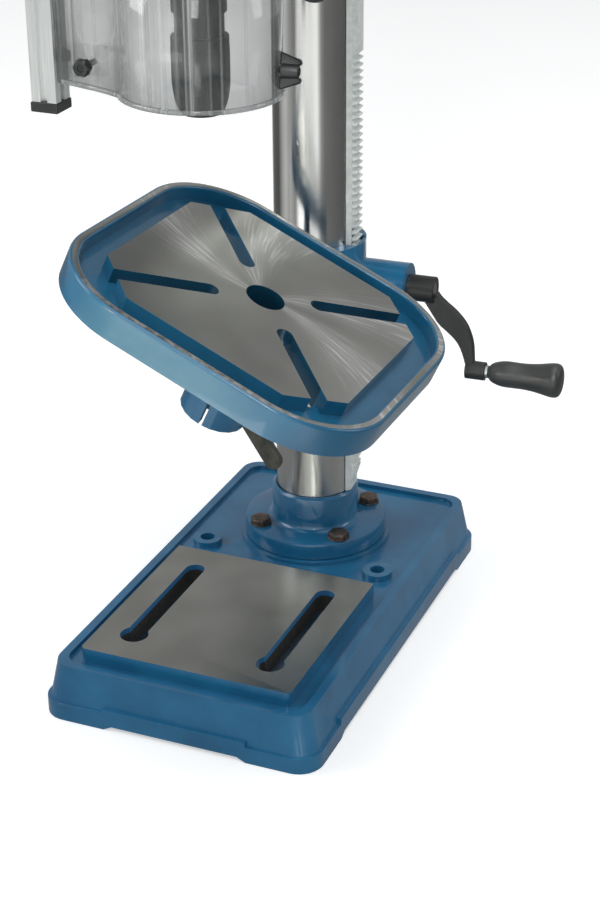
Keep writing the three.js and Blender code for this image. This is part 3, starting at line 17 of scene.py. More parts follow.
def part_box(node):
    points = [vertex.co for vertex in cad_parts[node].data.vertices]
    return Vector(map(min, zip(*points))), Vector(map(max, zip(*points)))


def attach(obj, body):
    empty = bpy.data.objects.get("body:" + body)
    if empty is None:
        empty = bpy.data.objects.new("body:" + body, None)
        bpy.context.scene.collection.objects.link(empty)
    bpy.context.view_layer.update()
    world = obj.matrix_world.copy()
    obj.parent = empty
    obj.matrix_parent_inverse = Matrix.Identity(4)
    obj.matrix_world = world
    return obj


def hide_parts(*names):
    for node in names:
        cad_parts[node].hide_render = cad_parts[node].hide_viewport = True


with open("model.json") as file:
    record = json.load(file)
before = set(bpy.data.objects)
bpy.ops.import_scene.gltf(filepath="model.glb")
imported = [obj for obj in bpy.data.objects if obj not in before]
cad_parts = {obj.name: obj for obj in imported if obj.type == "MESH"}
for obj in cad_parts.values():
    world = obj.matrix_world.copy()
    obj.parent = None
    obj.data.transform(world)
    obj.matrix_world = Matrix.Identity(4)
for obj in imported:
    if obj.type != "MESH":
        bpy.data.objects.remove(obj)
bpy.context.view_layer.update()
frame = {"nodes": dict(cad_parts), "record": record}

# %% [markdown]
# Measures
#
# The sizes are in millimetres, as on a drawing, and Blender works in metres. One small function turns
# the first into the second. Another turns a colour written as sRGB hex, the way a paint chart gives
# it, into the linear values that a shader needs.


# %% Units and colours
PER_METRE = 1000.0


def mm(value):
    return value / PER_METRE


def colour(text):
    channels = []
    for start in (0, 2, 4):
        level = int(text[start:start + 2], 16) / 255.0
        channels.append(level / 12.92 if level <= 0.04045 else ((level + 0.055) / 1.055) ** 2.4)
    return (*channels, 1.0)


print("one hundred millimetres is", mm(100), "metres")
print("enamel in linear values", [round(c, 3) for c in colour("2F6A93")])

# %% [markdown]
# The camera
#
# The view looks down on the machine from its right front with a long lens, so upright lines stay nearly
# parallel. The sensor's width belongs to the picture's long side. A small shift frames the machine
# without turning the camera.


# %% Camera
def new_object(name, data):
    item = bpy.data.objects.new(name, data)
    bpy.context.scene.collection.objects.link(item)
    return item


LONG_SIDE = 900
FOCAL_PIXELS = 1930.49
SHIFT_PIXELS = (-37.57, -30.99)
CAMERA_PLACE = (629.9, -1531.0, 944.4)
DEGREES_DOWN, DEGREES_ROUND = 25.186, 21.621
lens_data = bpy.data.cameras.new("studio_camera")
lens_data.sensor_width = 36.0
lens_data.lens = FOCAL_PIXELS * lens_data.sensor_width / LONG_SIDE
lens_data.shift_x, lens_data.shift_y = [pixels / LONG_SIDE for pixels in SHIFT_PIXELS]
lens_data.clip_end = 50.0
camera = new_object("studio_camera", lens_data)
camera.location = [mm(value) for value in CAMERA_PLACE]
camera.rotation_euler = (math.radians(90 - DEGREES_DOWN), 0.0, math.radians(DEGREES_ROUND))
bpy.context.scene.camera = camera
bpy.context.scene.view_settings.view_transform = "Standard"
print("lens", round(lens_data.lens, 2), "mm")

# %% [markdown]
# Adding nodes
#
# Every material and the world are made of nodes. One function adds a node, sets what is given, and
# feeds its inputs. A setting of one word is the node's operation. An input gets a plain value, another
# node's output, or a node, which stands for its first output. Some inputs go by number, such as _0.


# %% Functions that add and feed a node
def feed(node, **inputs):
    for name, value in inputs.items():
        socket = node.inputs[int(name[1:]) if name[0] == "_" else name.replace("_", " ")]
        if isinstance(value, bpy.types.Node):
            value = value.outputs[0]
        if isinstance(value, bpy.types.NodeSocket):
            node.id_data.links.new(value, socket)
        else:
            socket.default_value = value
    return node


def add(tree, kind, settings=None, **inputs):
    node = tree.nodes.new("ShaderNode" + kind)
    settings = {"operation": settings} if isinstance(settings, str) else settings or {}
    for name, value in settings.items():
        setattr(node, name, value)
    return feed(node, **inputs)


print("node functions ready")

# %% [markdown]
# The studio
#
# A pale floor carries the machine's soft shadow. To the camera the floor and the world are white, and so
# they are to rays that pass through clear plastic. They light the machine with less, so that a colour
# renders about as it is written. Polished metal would look flat in an all-white room. So its rays meet
# a world with one bright screen, and a floor with grey cards all round and a brighter board in front.


# %% Ramps, products and bearings
def emptied(owner):
    owner.use_nodes = True
    owner.node_tree.nodes.clear()
    return owner.node_tree


def banded(tree, amount, stops):
    node = add(tree, "ValToRGB", _0=amount)
    for position, _ in stops[1:-1]:
        node.color_ramp.elements.new(position)
    for element, (position, shade) in zip(node.color_ramp.elements, stops):
        element.position = position
        element.color = colour(shade)
    return node


def ramp(tree, amount, start, full, low=0.0, high=1.0):
    return add(tree, "MapRange", _0=amount, _1=start, _2=full, _3=low, _4=high)


def times(tree, first, second):
    return add(tree, "Math", "MULTIPLY", _0=first, _1=second)


def for_the_eye(path):
    return add(path.id_data, "Math", "MAXIMUM", _0=path.outputs["Is Camera Ray"],
               _1=path.outputs["Is Transmission Ray"])


def bearing_of(tree, axes):
    bearing = add(tree, "Math", "ARCTAN2", _0=axes.outputs[1], _1=axes.outputs[0])
    return bearing, ramp(tree, bearing, -math.pi, math.pi)


print("studio functions ready")

# %% World
WHITE = (1, 1, 1, 1)
SCREENS = ((0.0, "8F8F8F"), (0.2, "8F8F8F"), (0.23, "FFFFFF"), (0.34, "FFFFFF"), (0.37, "8F8F8F"),
           (1.0, "8F8F8F"))
DAYLIGHT, SCREEN_LIGHT = 0.42, 1.5
world = bpy.data.worlds.new("studio_world")
bpy.context.scene.world = world
tree = emptied(world)
path = add(tree, "LightPath")
way = add(tree, "SeparateXYZ", Vector=add(tree, "TexCoord").outputs["Generated"])
screens = banded(tree, bearing_of(tree, way)[1], SCREENS)
mirrored = add(tree, "Background", Color=screens, Strength=SCREEN_LIGHT)
soft = add(tree, "Background", Color=colour("F4F6F8"), Strength=DAYLIGHT)
lit = add(tree, "MixShader", _0=path.outputs["Is Glossy Ray"], _1=soft, _2=mirrored)
white = add(tree, "Background", Color=WHITE, Strength=1.0)
add(tree, "OutputWorld", Surface=add(tree, "MixShader", _0=for_the_eye(path), _1=lit, _2=white))
print("world made")


# %% The floor's form
def mesh_of(form, name):
    mesh = bpy.data.meshes.new(name)
    form.to_mesh(mesh)
    form.free()
    return mesh


FLOOR_HALF, FLOOR_DROP = 6.0, 0.4
floor_form = bmesh.new()
bmesh.ops.create_grid(floor_form, x_segments=1, y_segments=1, size=FLOOR_HALF)
bmesh.ops.translate(floor_form, verts=floor_form.verts, vec=(0, 0, -mm(FLOOR_DROP)))
floor = new_object("studio_floor", mesh_of(floor_form, "studio_floor"))
print("floor faces", len(floor.data.polygons))

# %% The floor's finish
MIDDLE_X, MIDDLE_Y, HALF_X, HALF_Y = 0.0, -0.101, 0.122, 0.212
FLOOR_LIFT, NEAR_LIGHT, CARD_LIGHT, BOARD_LIGHT = 0.46, 0.32, 1.6, 1.8
CARDS_START, CARDS_FULL = 0.45, 0.8
BOARD_AWAY, BOARD_DEPTH, BOARD_BEARING, BOARD_SPREAD = 1.08, 0.2, -114, 24
CARDS = ((0.0, "4A4B4B"), (0.05, "A5A6A6"), (0.08, "BCBCBC"), (0.13, "8A8A8A"), (0.17, "707070"),
         (0.2, "F0F0F0"), (0.25, "FFFFFF"), (0.3, "F0F0F0"), (0.34, "FFFFFF"), (0.37, "909090"),
         (0.4, "6A6A6A"), (0.56, "4E4F4F"), (0.7, "464747"), (0.75, "D0D0D0"), (0.84, "D0D0D0"),
         (0.9, "5A5A5A"), (1.0, "4A4B4B"))
floor_finish = bpy.data.materials.new("white_studio_floor")
tree = emptied(floor_finish)
path = add(tree, "LightPath")
place = add(tree, "TexCoord").outputs["Object"]
where = add(tree, "SeparateXYZ", Vector=place)
# Under the base the floor adds no light of its own, so that the gap beneath stays dark
under_x = add(tree, "Math", "COMPARE", _0=where.outputs[0], _1=MIDDLE_X, _2=HALF_X)
under_y = add(tree, "Math", "COMPARE", _0=where.outputs[1], _1=MIDDLE_Y, _2=HALF_Y)
beneath = times(tree, under_x, under_y)
open_floor = add(tree, "Math", "SUBTRACT", _0=1.0, _1=beneath)
own_light = times(tree, times(tree, for_the_eye(path), open_floor), FLOOR_LIFT)
paper = add(tree, "BsdfDiffuse", Color=colour("DDDEDE"))
both = add(tree, "AddShader", _0=paper, _1=add(tree, "Emission", Color=WHITE, Strength=own_light))
print("own light of the floor set")

# %% What polished metal sees of the floor
# An even floor near by, and cards further out
bearing, round_share = bearing_of(tree, where)
away = add(tree, "VectorMath", "LENGTH", Vector=place).outputs["Value"]
in_ring = add(tree, "Math", "COMPARE", _0=away, _1=BOARD_AWAY, _2=BOARD_DEPTH)
in_turn = add(tree, "Math", "COMPARE", _0=bearing, _1=math.radians(BOARD_BEARING),
              _2=math.radians(BOARD_SPREAD))
board = times(tree, in_ring, in_turn)
bright = add(tree, "Math", "MULTIPLY_ADD", _0=board, _1=BOARD_LIGHT, _2=CARD_LIGHT)
near_glow = add(tree, "Emission", Color=colour("F2F3F4"), Strength=NEAR_LIGHT)
far_glow = add(tree, "Emission", Color=banded(tree, round_share, CARDS), Strength=bright)
reach = ramp(tree, away, CARDS_START, CARDS_FULL)
card_glow = add(tree, "MixShader", _0=reach, _1=near_glow, _2=far_glow)
surface = add(tree, "MixShader", _0=path.outputs["Is Glossy Ray"], _1=both, _2=card_glow)
add(tree, "OutputMaterial", Surface=surface)
floor.data.materials.append(floor_finish)
print("made", floor_finish.name)

# %% [markdown]
# Lamps
#
# A narrow tall lamp in front gives the crisp highlights, and a broad one at the left front the long soft
# ones. One above fills, and a weak one from the right rear keeps the dark side readable. All are large,
# so that shadows have no hard edge. A small warm lamp grazes the table's front.


# %% Lamps
def lamp(name, place, aim, width, height, watts, tint="FFFFFF"):
    data = bpy.data.lights.new(name, "AREA")
    data.shape = "RECTANGLE"
    data.size = width
    data.size_y = height
    data.energy = watts
    data.color = colour(tint)[:3]
    item = new_object(name, data)
    item.location = place
    item.rotation_euler = (Vector(aim) - Vector(place)).to_track_quat("-Z", "Y").to_euler()
    return item


MACHINE, UPPER_MACHINE, TABLE_FRONT = (0, 0, 0.3), (0, 0, 0.4), (-0.05, -0.36, 0.37)
NARROW_SPREAD = 16
lamp("front_lamp", (0.75, -2.3, 2.2), MACHINE, 0.35, 1.6, 27)
lamp("left_lamp", (-2.4, -1.2, 2.0), MACHINE, 1.4, 1.8, 30)
lamp("top_lamp", (0.2, 0.2, 3.0), MACHINE, 2.0, 2.0, 30)
lamp("right_lamp", (2.6, 0.8, 1.6), UPPER_MACHINE, 0.8, 1.6, 10)
narrow = lamp("table_front_lamp", (-0.6, -1.7, 0.75), TABLE_FRONT, 0.3, 0.12, 0.09, "FFF6EA")
narrow.data.spread = math.radians(NARROW_SPREAD)

# %% [markdown]
# Finishes
#
# Each finish starts from what the real surface is. A function opens a material with its shader and its
# object coordinates, scaled so that one unit of a pattern is one millimetre. Another gives it patches
# of two shades, changes of gloss and fine relief. Each is a noise pattern, said as its size, its detail
# and, where marks run one way, its stretch. Noise needs no unwrapping and holds at any distance.

# %% Functions for finishes
finishes = {}


def open_finish(name, base, metal, rough, **inputs):
    finishes[name] = bpy.data.materials.new(name)
    tree = emptied(finishes[name])
    shader = add(tree, "BsdfPrincipled", Base_Color=colour(base), Metallic=metal, Roughness=rough, **inputs)
    add(tree, "OutputMaterial", Surface=shader)
    place = add(tree, "TexCoord").outputs["Object"]
    return tree, shader, add(tree, "Mapping", Vector=place, Scale=(PER_METRE, PER_METRE, PER_METRE))


def grain(tree, where, size, detail=2.0, stretch=(1, 1, 1)):
    shaped = add(tree, "Mapping", Vector=where, Scale=stretch)
    return add(tree, "TexNoise", Vector=shaped, Scale=1.0 / size, Detail=detail)


def tinted(tree, amount, dark, light, low=0.35, high=0.65):
    return banded(tree, amount, ((low, dark), (high, light)))


def make_finish(name, base, metal, rough, patches, gloss, bumps=None, strength=1.0, **inputs):
    tree, shader, at = open_finish(name, base, metal, rough, **inputs)
    pattern, *shades = patches
    paint = tinted(tree, grain(tree, at, *pattern), *shades)
    pattern, low, high = gloss
    dulled = ramp(tree, grain(tree, at, *pattern), 0, 1, low, high)
    feed(shader, Base_Color=paint, Roughness=dulled)
    if bumps:
        pattern, depth = bumps
        relief = add(tree, "Bump", Height=grain(tree, at, *pattern), Distance=mm(depth), Strength=strength)
        feed(shader, Normal=relief, **({"Coat_Normal": relief} if "Coat_Weight" in inputs else {}))
    return tree, shader, at, paint


print("finish functions ready")

# %% [markdown]
# Blue enamel
#
# The castings are sprayed with gloss enamel: a deep blue with a clear, slightly wavy skin. The waves are
# the spray's orange peel, about 2 mm across, over broad and very shallow unevenness of the casting.
# In the table's slots and its hole a darker blue is painted in as the shade that falls there.


# %% Blue enamel
def enamelled(name, dark, light):
    tree, shader, at, paint = make_finish(name, light, 0.0, 0.3, ((60, 3), dark, light), ((14, 4), 0.24, 0.4),
                                          ((2.2, 2), 0.05), IOR=1.35, Coat_Weight=0.8, Coat_Roughness=0.05)
    peel = shader.inputs["Normal"].links[0].from_socket
    waves = add(tree, "Bump", Height=grain(tree, at, 26, 1), Distance=mm(0.5), Strength=0.6, Normal=peel)
    feed(shader, Normal=waves, Coat_Normal=waves)
    return tree, shader, at, paint


enamelled("blue_enamel_paint", "195B82", "226B93")
# A darker blue for the walls of the table's slots and hole: painted shade in these recesses
enamelled("painted_shade_slot_enamel", "0E3346", "154A64")
print("enamels made", len(finishes))

# %% [markdown]
# Ground iron
#
# The working faces are cast iron, ground with a cup wheel that leaves fine crossing arcs a tenth of a
# millimetre apart. They are drawn about ten times as coarse, so that they show at this distance. Round
# the table's middle four curled rays of painted highlight whiten their colour, and the base's pad has none.

# %% Patterns in a face's own frame
def blend(tree, share, first, second):
    return add(tree, "Mix", {"data_type": "RGBA"}, _0=share, _6=first, _7=second).outputs[2]


def in_frame(tree, at, frame_of_face):
    offset = [-PER_METRE * value for value in frame_of_face.translation]
    centred = add(tree, "Mapping", Vector=at, Location=offset)
    turn_back = frame_of_face.to_3x3().inverted().to_euler()
    return centred, add(tree, "Mapping", Vector=centred, Rotation=turn_back)


print("pattern functions ready")

# %% Ground iron
# A painted highlight ray has a number of arms, a start in radians, a curl per millimetre and a sharpness
PAINTED_RAYS = ((2, 0.14, 0.0035, 20), (1, 2.53, 0.0061, 52), (1, 0.9, 0.002, 70))
STREAKS_PER_DEGREE, OUTWARD = 0.55, 0.04
PAINTED_STREAK_SHARE, GROUND_GLOSS = (0.5, 0.68, 0.26, 0.9), (0.27, 0.33)


def ground_iron(name, frame_of_face, swirl_and_painted_rays):
    tree, shader, at = open_finish(name, "AEAFAA", 1.0, 0.3, Anisotropic=0.5 * swirl_and_painted_rays)
    centred, flat = in_frame(tree, at, frame_of_face)
    lay = add(tree, "VectorMath", "CROSS_PRODUCT", _1=centred,
              _0=frame_of_face.to_3x3() @ Vector((0, 0, 1)))
    side = add(tree, "SeparateXYZ", Vector=flat)
    angle = add(tree, "Math", "ARCTAN2", _0=side.outputs[1], _1=side.outputs[0])
    out = add(tree, "VectorMath", "LENGTH", _0=flat).outputs["Value"]
    painted_ray_lobes = None
    for arms, start, spiral, power in PAINTED_RAYS:
        curl = add(tree, "Math", "MULTIPLY_ADD", _0=out, _1=spiral, _2=angle)
        phase = add(tree, "Math", "MULTIPLY_ADD", _0=curl, _1=arms, _2=-arms * start)
        wave = add(tree, "Math", "COSINE", _0=phase)
        half = ramp(tree, wave, -1, 1)
        painted_ray_lobe = add(tree, "Math", "POWER", _0=half, _1=power)
        painted_ray_lobes = painted_ray_lobe if painted_ray_lobes is None else add(tree, "Math", "MAXIMUM", _0=painted_ray_lobes, _1=painted_ray_lobe)
    swept = add(tree, "CombineXYZ", _0=times(tree, curl, math.degrees(1)), _1=times(tree, out, OUTWARD))
    streaks = add(tree, "TexNoise", Vector=swept, Scale=STREAKS_PER_DEGREE, Detail=3.0)
    painted_ray_shine = times(tree, painted_ray_lobes, ramp(tree, streaks, *PAINTED_STREAK_SHARE))
    strength = times(tree, painted_ray_shine, swirl_and_painted_rays)
    drift = tinted(tree, grain(tree, flat, 60, 1), "9D9E99", "ABACA7")
    # The rays blend the colour towards white: a painted highlight
    ground = blend(tree, strength, drift, colour("FFFFFF"))
    fine = grain(tree, flat, 0.7, 3, (1, 0.1, 1))
    feed(shader, Base_Color=ground, Roughness=ramp(tree, fine, 0, 1, *GROUND_GLOSS),
         Tangent=add(tree, "VectorMath", "NORMALIZE", _0=lay),
         Normal=add(tree, "Bump", Height=streaks, Distance=mm(0.03 * swirl_and_painted_rays), Strength=0.3))


ground_iron("ground_cast_iron", Matrix.Translation((0, mm(-190), mm(61))), 0.0)
print("made", finishes["ground_cast_iron"].name)

# %% [markdown]
# Bright and dark steels
#
# Turning leaves marks that run round a part, so their pattern is stretched round it. The column's marks
# only change its gloss, and a tangent that runs round it spreads its highlights up and down.

# %% Bright steels
ROUND_MARKS = (0.7, 2, (0.05, 0.05, 1.0))

# Drawn tube, turned and polished: bright, with long highlights
tree, shader, at, paint = make_finish("polished_steel_tube", "B9BAB7", 1.0, 0.2,
                                      ((40, 2, (1, 1, 0.3)), "B9BAB7", "CACBC8"),
                                      ((0.9, 3, (0.02, 0.02, 1.0)), 0.13, 0.22),
                                      Anisotropic=0.85, Anisotropic_Rotation=0.25)
feed(shader, Tangent=add(tree, "Tangent", {"direction_type": "RADIAL", "axis": "Z"}))

# Zinc plating: a cool grey whose gloss changes from place to place
make_finish("zinc_plated_steel", "BFC8C3", 1.0, 0.34, ((8, 3), "AFB8B3", "CBD3CE"), ((3, 3), 0.28, 0.44),
            ((0.8, 2), 0.02))
# The rack's plating is dull and chalky: pale from all sides, with hardly a mirror
make_finish("pale_zinc_rack_steel", "E2E7E5", 0.15, 0.46, ((8, 3), "D6DCD9", "EAEFEC"), ((3, 3), 0.4, 0.55),
            ((0.8, 2), 0.02))
# Machined steel: bright grey with turning marks
make_finish("turned_steel", "A9AAA7", 1.0, 0.3, ((20, 2), "9B9C99", "B3B4B1"), (ROUND_MARKS, 0.24, 0.38),
            (ROUND_MARKS, 0.02), 0.6)
print("bright steels made", len(finishes))

# %% Dark steels and black enamel
# Hardened steel: a dark satin grey, the marks nearly ground away
make_finish("hardened_chuck_steel", "3C3C3B", 1.0, 0.34, ((16, 2), "323232", "474645"), (ROUND_MARKS, 0.3, 0.42),
            (ROUND_MARKS, 0.015), 0.15)
# Black oxide: a thin oily skin over steel, nearly black
make_finish("black_oxide_steel", "2E302F", 0.7, 0.42, ((12, 4), "272928", "383B3A"), ((4, 3), 0.34, 0.52),
            ((0.9, 2), 0.03))
# Forged bolts that browned in use: a warm, patchy dark grey
make_finish("browned_bolt_steel", "5F544C", 0.8, 0.4, ((5, 4), "4A423C", "716359"), ((3, 3), 0.32, 0.52),
            ((0.9, 2), 0.03))
# Hot rolled bar: a grey mill skin with a slight pebble
make_finish("rolled_lever_steel", "55554F", 0.9, 0.4, ((12, 4), "494944", "62625B"), ((4, 3), 0.3, 0.48),
            ((1.2, 2), 0.04))
# Stove enamel: baked black paint with a faint gloss coat
make_finish("black_stove_enamel", "232626", 0.0, 0.42, ((30, 2), "1F2121", "2A2C2B"), ((10, 3), 0.36, 0.5),
            ((1.8, 2), 0.05), IOR=1.45, Coat_Weight=0.15, Coat_Roughness=0.2)
print("dark steels made", len(finishes))

# %% Worn iron and the base slots' painted shade
# The table's rim, knocked bare: scuffed iron that is dark and bright by turns
SCUFFS = (5, 4, (1, 1, 0.3))
make_finish("worn_rim_iron", "B5B3AE", 0.85, 0.38, (SCUFFS, "85827C", "C4C0B9"), (SCUFFS, 0.28, 0.5),
            (SCUFFS, 0.1), 0.5)

# Inside the base's slots the rough walls get a nearly black painted shade, and blue where spray reached the lip
LIP_START, LIP_FULL = 55.4, 56.2
tree, shader, at, bare = make_finish("painted_shade_slot_iron", "1D1C1B", 0.0, 0.8, ((6, 4), "141413", "262523"),
                                     ((3, 3), 0.7, 0.9), ((1.5, 3), 0.2))
level = add(tree, "SeparateXYZ", Vector=at)
lip = ramp(tree, level.outputs[2], LIP_START, LIP_FULL)
feed(shader, Base_Color=blend(tree, lip, bare, colour("1B5F8C")))
print("bare iron made", len(finishes))

# %% [markdown]
# Plastics, aluminium and rubber
#
# Grips and knobs are moulded plastic, satin from the tool's surface. The guard is clear polycarbonate:
# seen straight it is clear, and it turns grey towards its edges, with faint upright streaks, which are
# painted reflections, and a soft reflection. True refraction through thin walls renders noisy, so how
# much it hides is set by the angle.

# %% Moulded plastics
# Moulded plastics: smooth and even, with the tool's fine texture
make_finish("black_moulded_plastic", "2A2C2C", 0.0, 0.36, ((18, 3), "252727", "303333"), ((6, 3), 0.3, 0.44),
            ((0.7, 2), 0.03), IOR=1.53)
make_finish("satin_grip_plastic", "363938", 0.0, 0.34, ((24, 2), "313433", "3D403F"), ((8, 3), 0.28, 0.42),
            ((0.9, 2), 0.04), IOR=1.5)
for tone, dark, light in (("red", "A3231F", "B42B25"), ("green", "1F7A42", "278A4C")):
    make_finish(tone + "_moulded_plastic", light, 0.0, 0.38, ((10, 3), dark, light), ((4, 3), 0.32, 0.46),
                ((0.7, 2), 0.03), IOR=1.53)
print("moulded plastics made", len(finishes))

# %% Clear plastics
# The upright streaks are painted reflections: bands of lighter tone that also hide more
PAINTED_REFLECTION_STREAKS, STREAK_BAND, STREAK_VEIL, EDGE_BLEND = (7, 3, (1, 1, 0.008)), (0.56, 0.72), 0.3, 0.28
# Clear sheet, its cut edge and the inner plate differ in shade and in how much they hide
for name, dark, light, low, high in (("clear_polycarbonate", "626564", "D8DCDA", 0.27, 0.85),
                                     ("cut_polycarbonate_edge", "A9ADAC", "D5D9D7", 0.35, 0.75),
                                     ("clear_inner_plate", "8E9291", "B4B8B6", 0.06, 0.3)):
    tree, shader, at, paint = make_finish(name, dark, 0.0, 0.06, (PAINTED_REFLECTION_STREAKS, dark, light, *STREAK_BAND),
                                          ((20, 4), 0.04, 0.12), IOR=1.58)
    edge_on = add(tree, "LayerWeight", Blend=EDGE_BLEND).outputs["Facing"]
    hidden = ramp(tree, edge_on, 0, 1, low, high)
    painted_streak_veil = ramp(tree, grain(tree, at, *PAINTED_REFLECTION_STREAKS), *STREAK_BAND, 0, STREAK_VEIL)
    feed(shader, Alpha=add(tree, "Math", "ADD", _0=hidden, _1=painted_streak_veil))
    mirror = add(tree, "BsdfGlossy", Roughness=0.12, Color=tinted(tree, edge_on, "0F0F0F", "6A6A6A", 0.0, 0.7))
    output = shader.outputs[0].links[0].to_node
    feed(output, Surface=add(tree, "AddShader", _0=shader, _1=mirror))
print("clear plastics made", len(finishes))

# %% Aluminium and rubber
# Extruded aluminium with a pale anodised skin, its marks drawn along its length
DRAWN_MARKS = (0.9, 3, (1.0, 1.0, 0.02))
make_finish("anodised_aluminium", "E2E5E3", 0.55, 0.36, (DRAWN_MARKS, "D9DCDA", "E9ECEA"), (DRAWN_MARKS, 0.3, 0.4),
            (DRAWN_MARKS, 0.01))
# Rubber: black with a dull, dusty face
make_finish("black_rubber", "1E1F1F", 0.0, 0.7, ((5, 4), "1A1B1B", "2A2B2B"), ((2, 3), 0.6, 0.82),
            ((0.9, 2), 0.08))
BLUE, STOVE, OXIDE, BLACK = "blue_enamel_paint", "black_stove_enamel", "black_oxide_steel", "black_moulded_plastic"
print("finishes", sorted(finishes))

# %% [markdown]
# Making a piece
#
# A new piece is a bmesh that becomes an object at the origin. Its doubles are merged and its faces
# turned outwards. Where they meet at a shallow angle they are shaded smooth, and sharper edges stay
# crisp. A piece that stands for a solid hides that solid.

# %% Turning a bmesh into a piece
DOUBLE = 0.004
CRISP = 32.0
body_of_node = {node: body for body, members in frame["record"]["behaviour"]["bodies"].items()
                for node in members}


def merged(form):
    bmesh.ops.remove_doubles(form, verts=form.verts, dist=mm(DOUBLE))
    return form


def shaded(mesh, sharp):
    mesh.shade_smooth()
    mesh.set_sharp_from_angle(angle=math.radians(sharp))


def make_piece(form, name, body, finish, node=None, sharp=CRISP):
    bmesh.ops.recalc_face_normals(merged(form), faces=form.faces)
    mesh = mesh_of(form, name)
    for entry in ([finish] if isinstance(finish, str) else finish):
        mesh.materials.append(finishes[entry])
    shaded(mesh, sharp)
    piece = new_object(name, mesh)
    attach(piece, body)
    if node:
        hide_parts(node)
    return piece


print("bodies of nodes read", len(body_of_node))

# %% [markdown]
# Rounding a casting's edges
#
# A casting has no knife edges: the pattern maker rounds them, and paint rounds them further. The piece
# starts as a copy of the solid, which can't drift from it as a new form could. Flat areas become single
# faces, and a bevel of the radius given runs along every edge that is sharper than a shallow angle.

# %% Copying a solid with rounded edges
EDGE_LIMIT = 34.0
FLAT_COPY, FLAT_TABLE = 0.6, 0.4


def soften(piece, radius, segments=2):
    bevel = piece.modifiers.new("rounded_edges", "BEVEL")
    bevel.width = mm(radius)
    bevel.segments = segments
    bevel.limit_method = "ANGLE"
    bevel.angle_limit = math.radians(EDGE_LIMIT)
    bevel.harden_normals = True
    bevel.use_clamp_overlap = True


def flattened(form, degrees):
    bmesh.ops.dissolve_limit(merged(form), angle_limit=math.radians(degrees), verts=form.verts,
                             edges=form.edges)
    return form


def rounded_copy(node, finish, radius, segments=2):
    form = bmesh.new()
    form.from_mesh(frame["nodes"][node].data)
    piece = make_piece(flattened(form, FLAT_COPY), node + "_cast", body_of_node[node], finish, node, EDGE_LIMIT)
    soften(piece, radius, segments)
    return piece


print("edge rounding ready")

# %% [markdown]
# Where the moved parts sit
#
# The bracket is swung a little round the column, the arm is tilted on it, and the table is turned in
# the arm's ring. Their parts are shaped upright at the origin, where sizes are easy to read, and each
# is then put in place by its matrix, as the solids are.

# %% Places
SPINDLE_Y = -225
BRACKET_SWING, TILT_DEGREES, TABLE_TURN = 3.33, 24.5, -3.66
TILT_HEIGHT, TABLE_RISE, CRANK_HEIGHT = 298.3, 88.3, 237.8


def upright(x, y, z=0.0):
    return Matrix.Translation((mm(x), mm(y), mm(z)))


def turned(degrees, axis):
    return Matrix.Rotation(math.radians(degrees), 4, axis)


def along_x(x, y, z):
    return upright(x, y, z) @ turned(90, "Y")


def to_front(x, y, z):
    return upright(x, y, z) @ turned(90, "X")


BRACKET = turned(BRACKET_SWING, "Z")
ARM = BRACKET @ upright(0, 0, TILT_HEIGHT) @ turned(TILT_DEGREES, "Y")
TABLE = ARM @ upright(0, SPINDLE_Y, TABLE_RISE) @ turned(TABLE_TURN, "Z")
print("table centre in mm", [round(c * PER_METRE, 1) for c in TABLE.translation])

# %% [markdown]
# Turning a part
#
# Columns, collars, knobs and chucks are turned, so they are spun here too. Vertices draw the half
# section as radius and height, and one full spin closes the form: a solid where the section ends on
# the axis, a ring where it closes on itself. A cylinder would give straight walls alone.


# %% Spinning a section
def placed(form, place):
    bmesh.ops.transform(form, matrix=place, verts=form.verts)
    return form


def spun(section, place=Matrix(), steps=72, close=False):
    form = bmesh.new()
    corners = [form.verts.new((mm(radius), 0, mm(height))) for radius, height in section]
    edges = [form.edges.new(pair) for pair in zip(corners, corners[1:])]
    if close:
        edges.append(form.edges.new((corners[-1], corners[0])))
    bmesh.ops.spin(form, geom=corners + edges, cent=(0, 0, 0), axis=(0, 0, 1), steps=steps,
                   angle=math.tau, use_merge=True)
    return placed(merged(form), place)


print("spinning ready")


# %% Blocks and groups
def bevelled(form, geom, offset, segments, affect="EDGES"):
    bmesh.ops.bevel(form, geom=geom, offset=mm(offset), segments=segments, profile=0.5, affect=affect,
                    material=-1)
    return form


def blocked(low, high, edge):
    form = bmesh.new()
    bmesh.ops.create_cube(form, size=1.0)
    bmesh.ops.scale(form, vec=[mm(b - a) for a, b in zip(low, high)], verts=form.verts)
    bevelled(form, form.edges[:], edge, 3)
    bmesh.ops.translate(form, vec=[mm((a + b) / 2) for a, b in zip(low, high)], verts=form.verts)
    return form


def together(*forms):
    whole = bmesh.new()
    for form in forms:
        part = mesh_of(form, "part")
        whole.from_mesh(part)
        bpy.data.meshes.remove(part)
    return whole


print("blocks ready")

# %% [markdown]
# The column and its foot
#
# The column is a polished tube, open at its top. Its foot is a cast flange with a collar. A casting has
# a fillet where the two meet, so the section gets a quarter of a small circle there.

# %% Column and flange
FILLET, FILLET_X, FILLET_Z, FILLET_STEPS = 6, 47, 72.8, 6
tube = [(32, 51), (36.5, 51), (36.5, 844), (35.9, 844.8), (32.4, 844.8), (32, 844)]
make_piece(spun(tube, steps=96, close=True), "column_tube", "stand", "polished_steel_tube", "column")
turns = [math.radians(180 + 90 * i / FILLET_STEPS) for i in range(FILLET_STEPS, -1, -1)]
foot = [(36.8, 50.6), (66.6, 50.6), (67.5, 51.5), (67.5, 65.0), (66.9, 66.3), (65.6, 66.8)]
foot += [(FILLET_X + FILLET * math.cos(turn), FILLET_Z + FILLET * math.sin(turn)) for turn in turns]
foot += [(41, 98.6), (40.5, 99.8), (38.9, 101.2), (37.6, 101.3), (36.8, 100.6)]
make_piece(spun(foot, steps=96, close=True), "cast_column_foot", "stand", BLUE, "column_flange")
print("column and foot made")

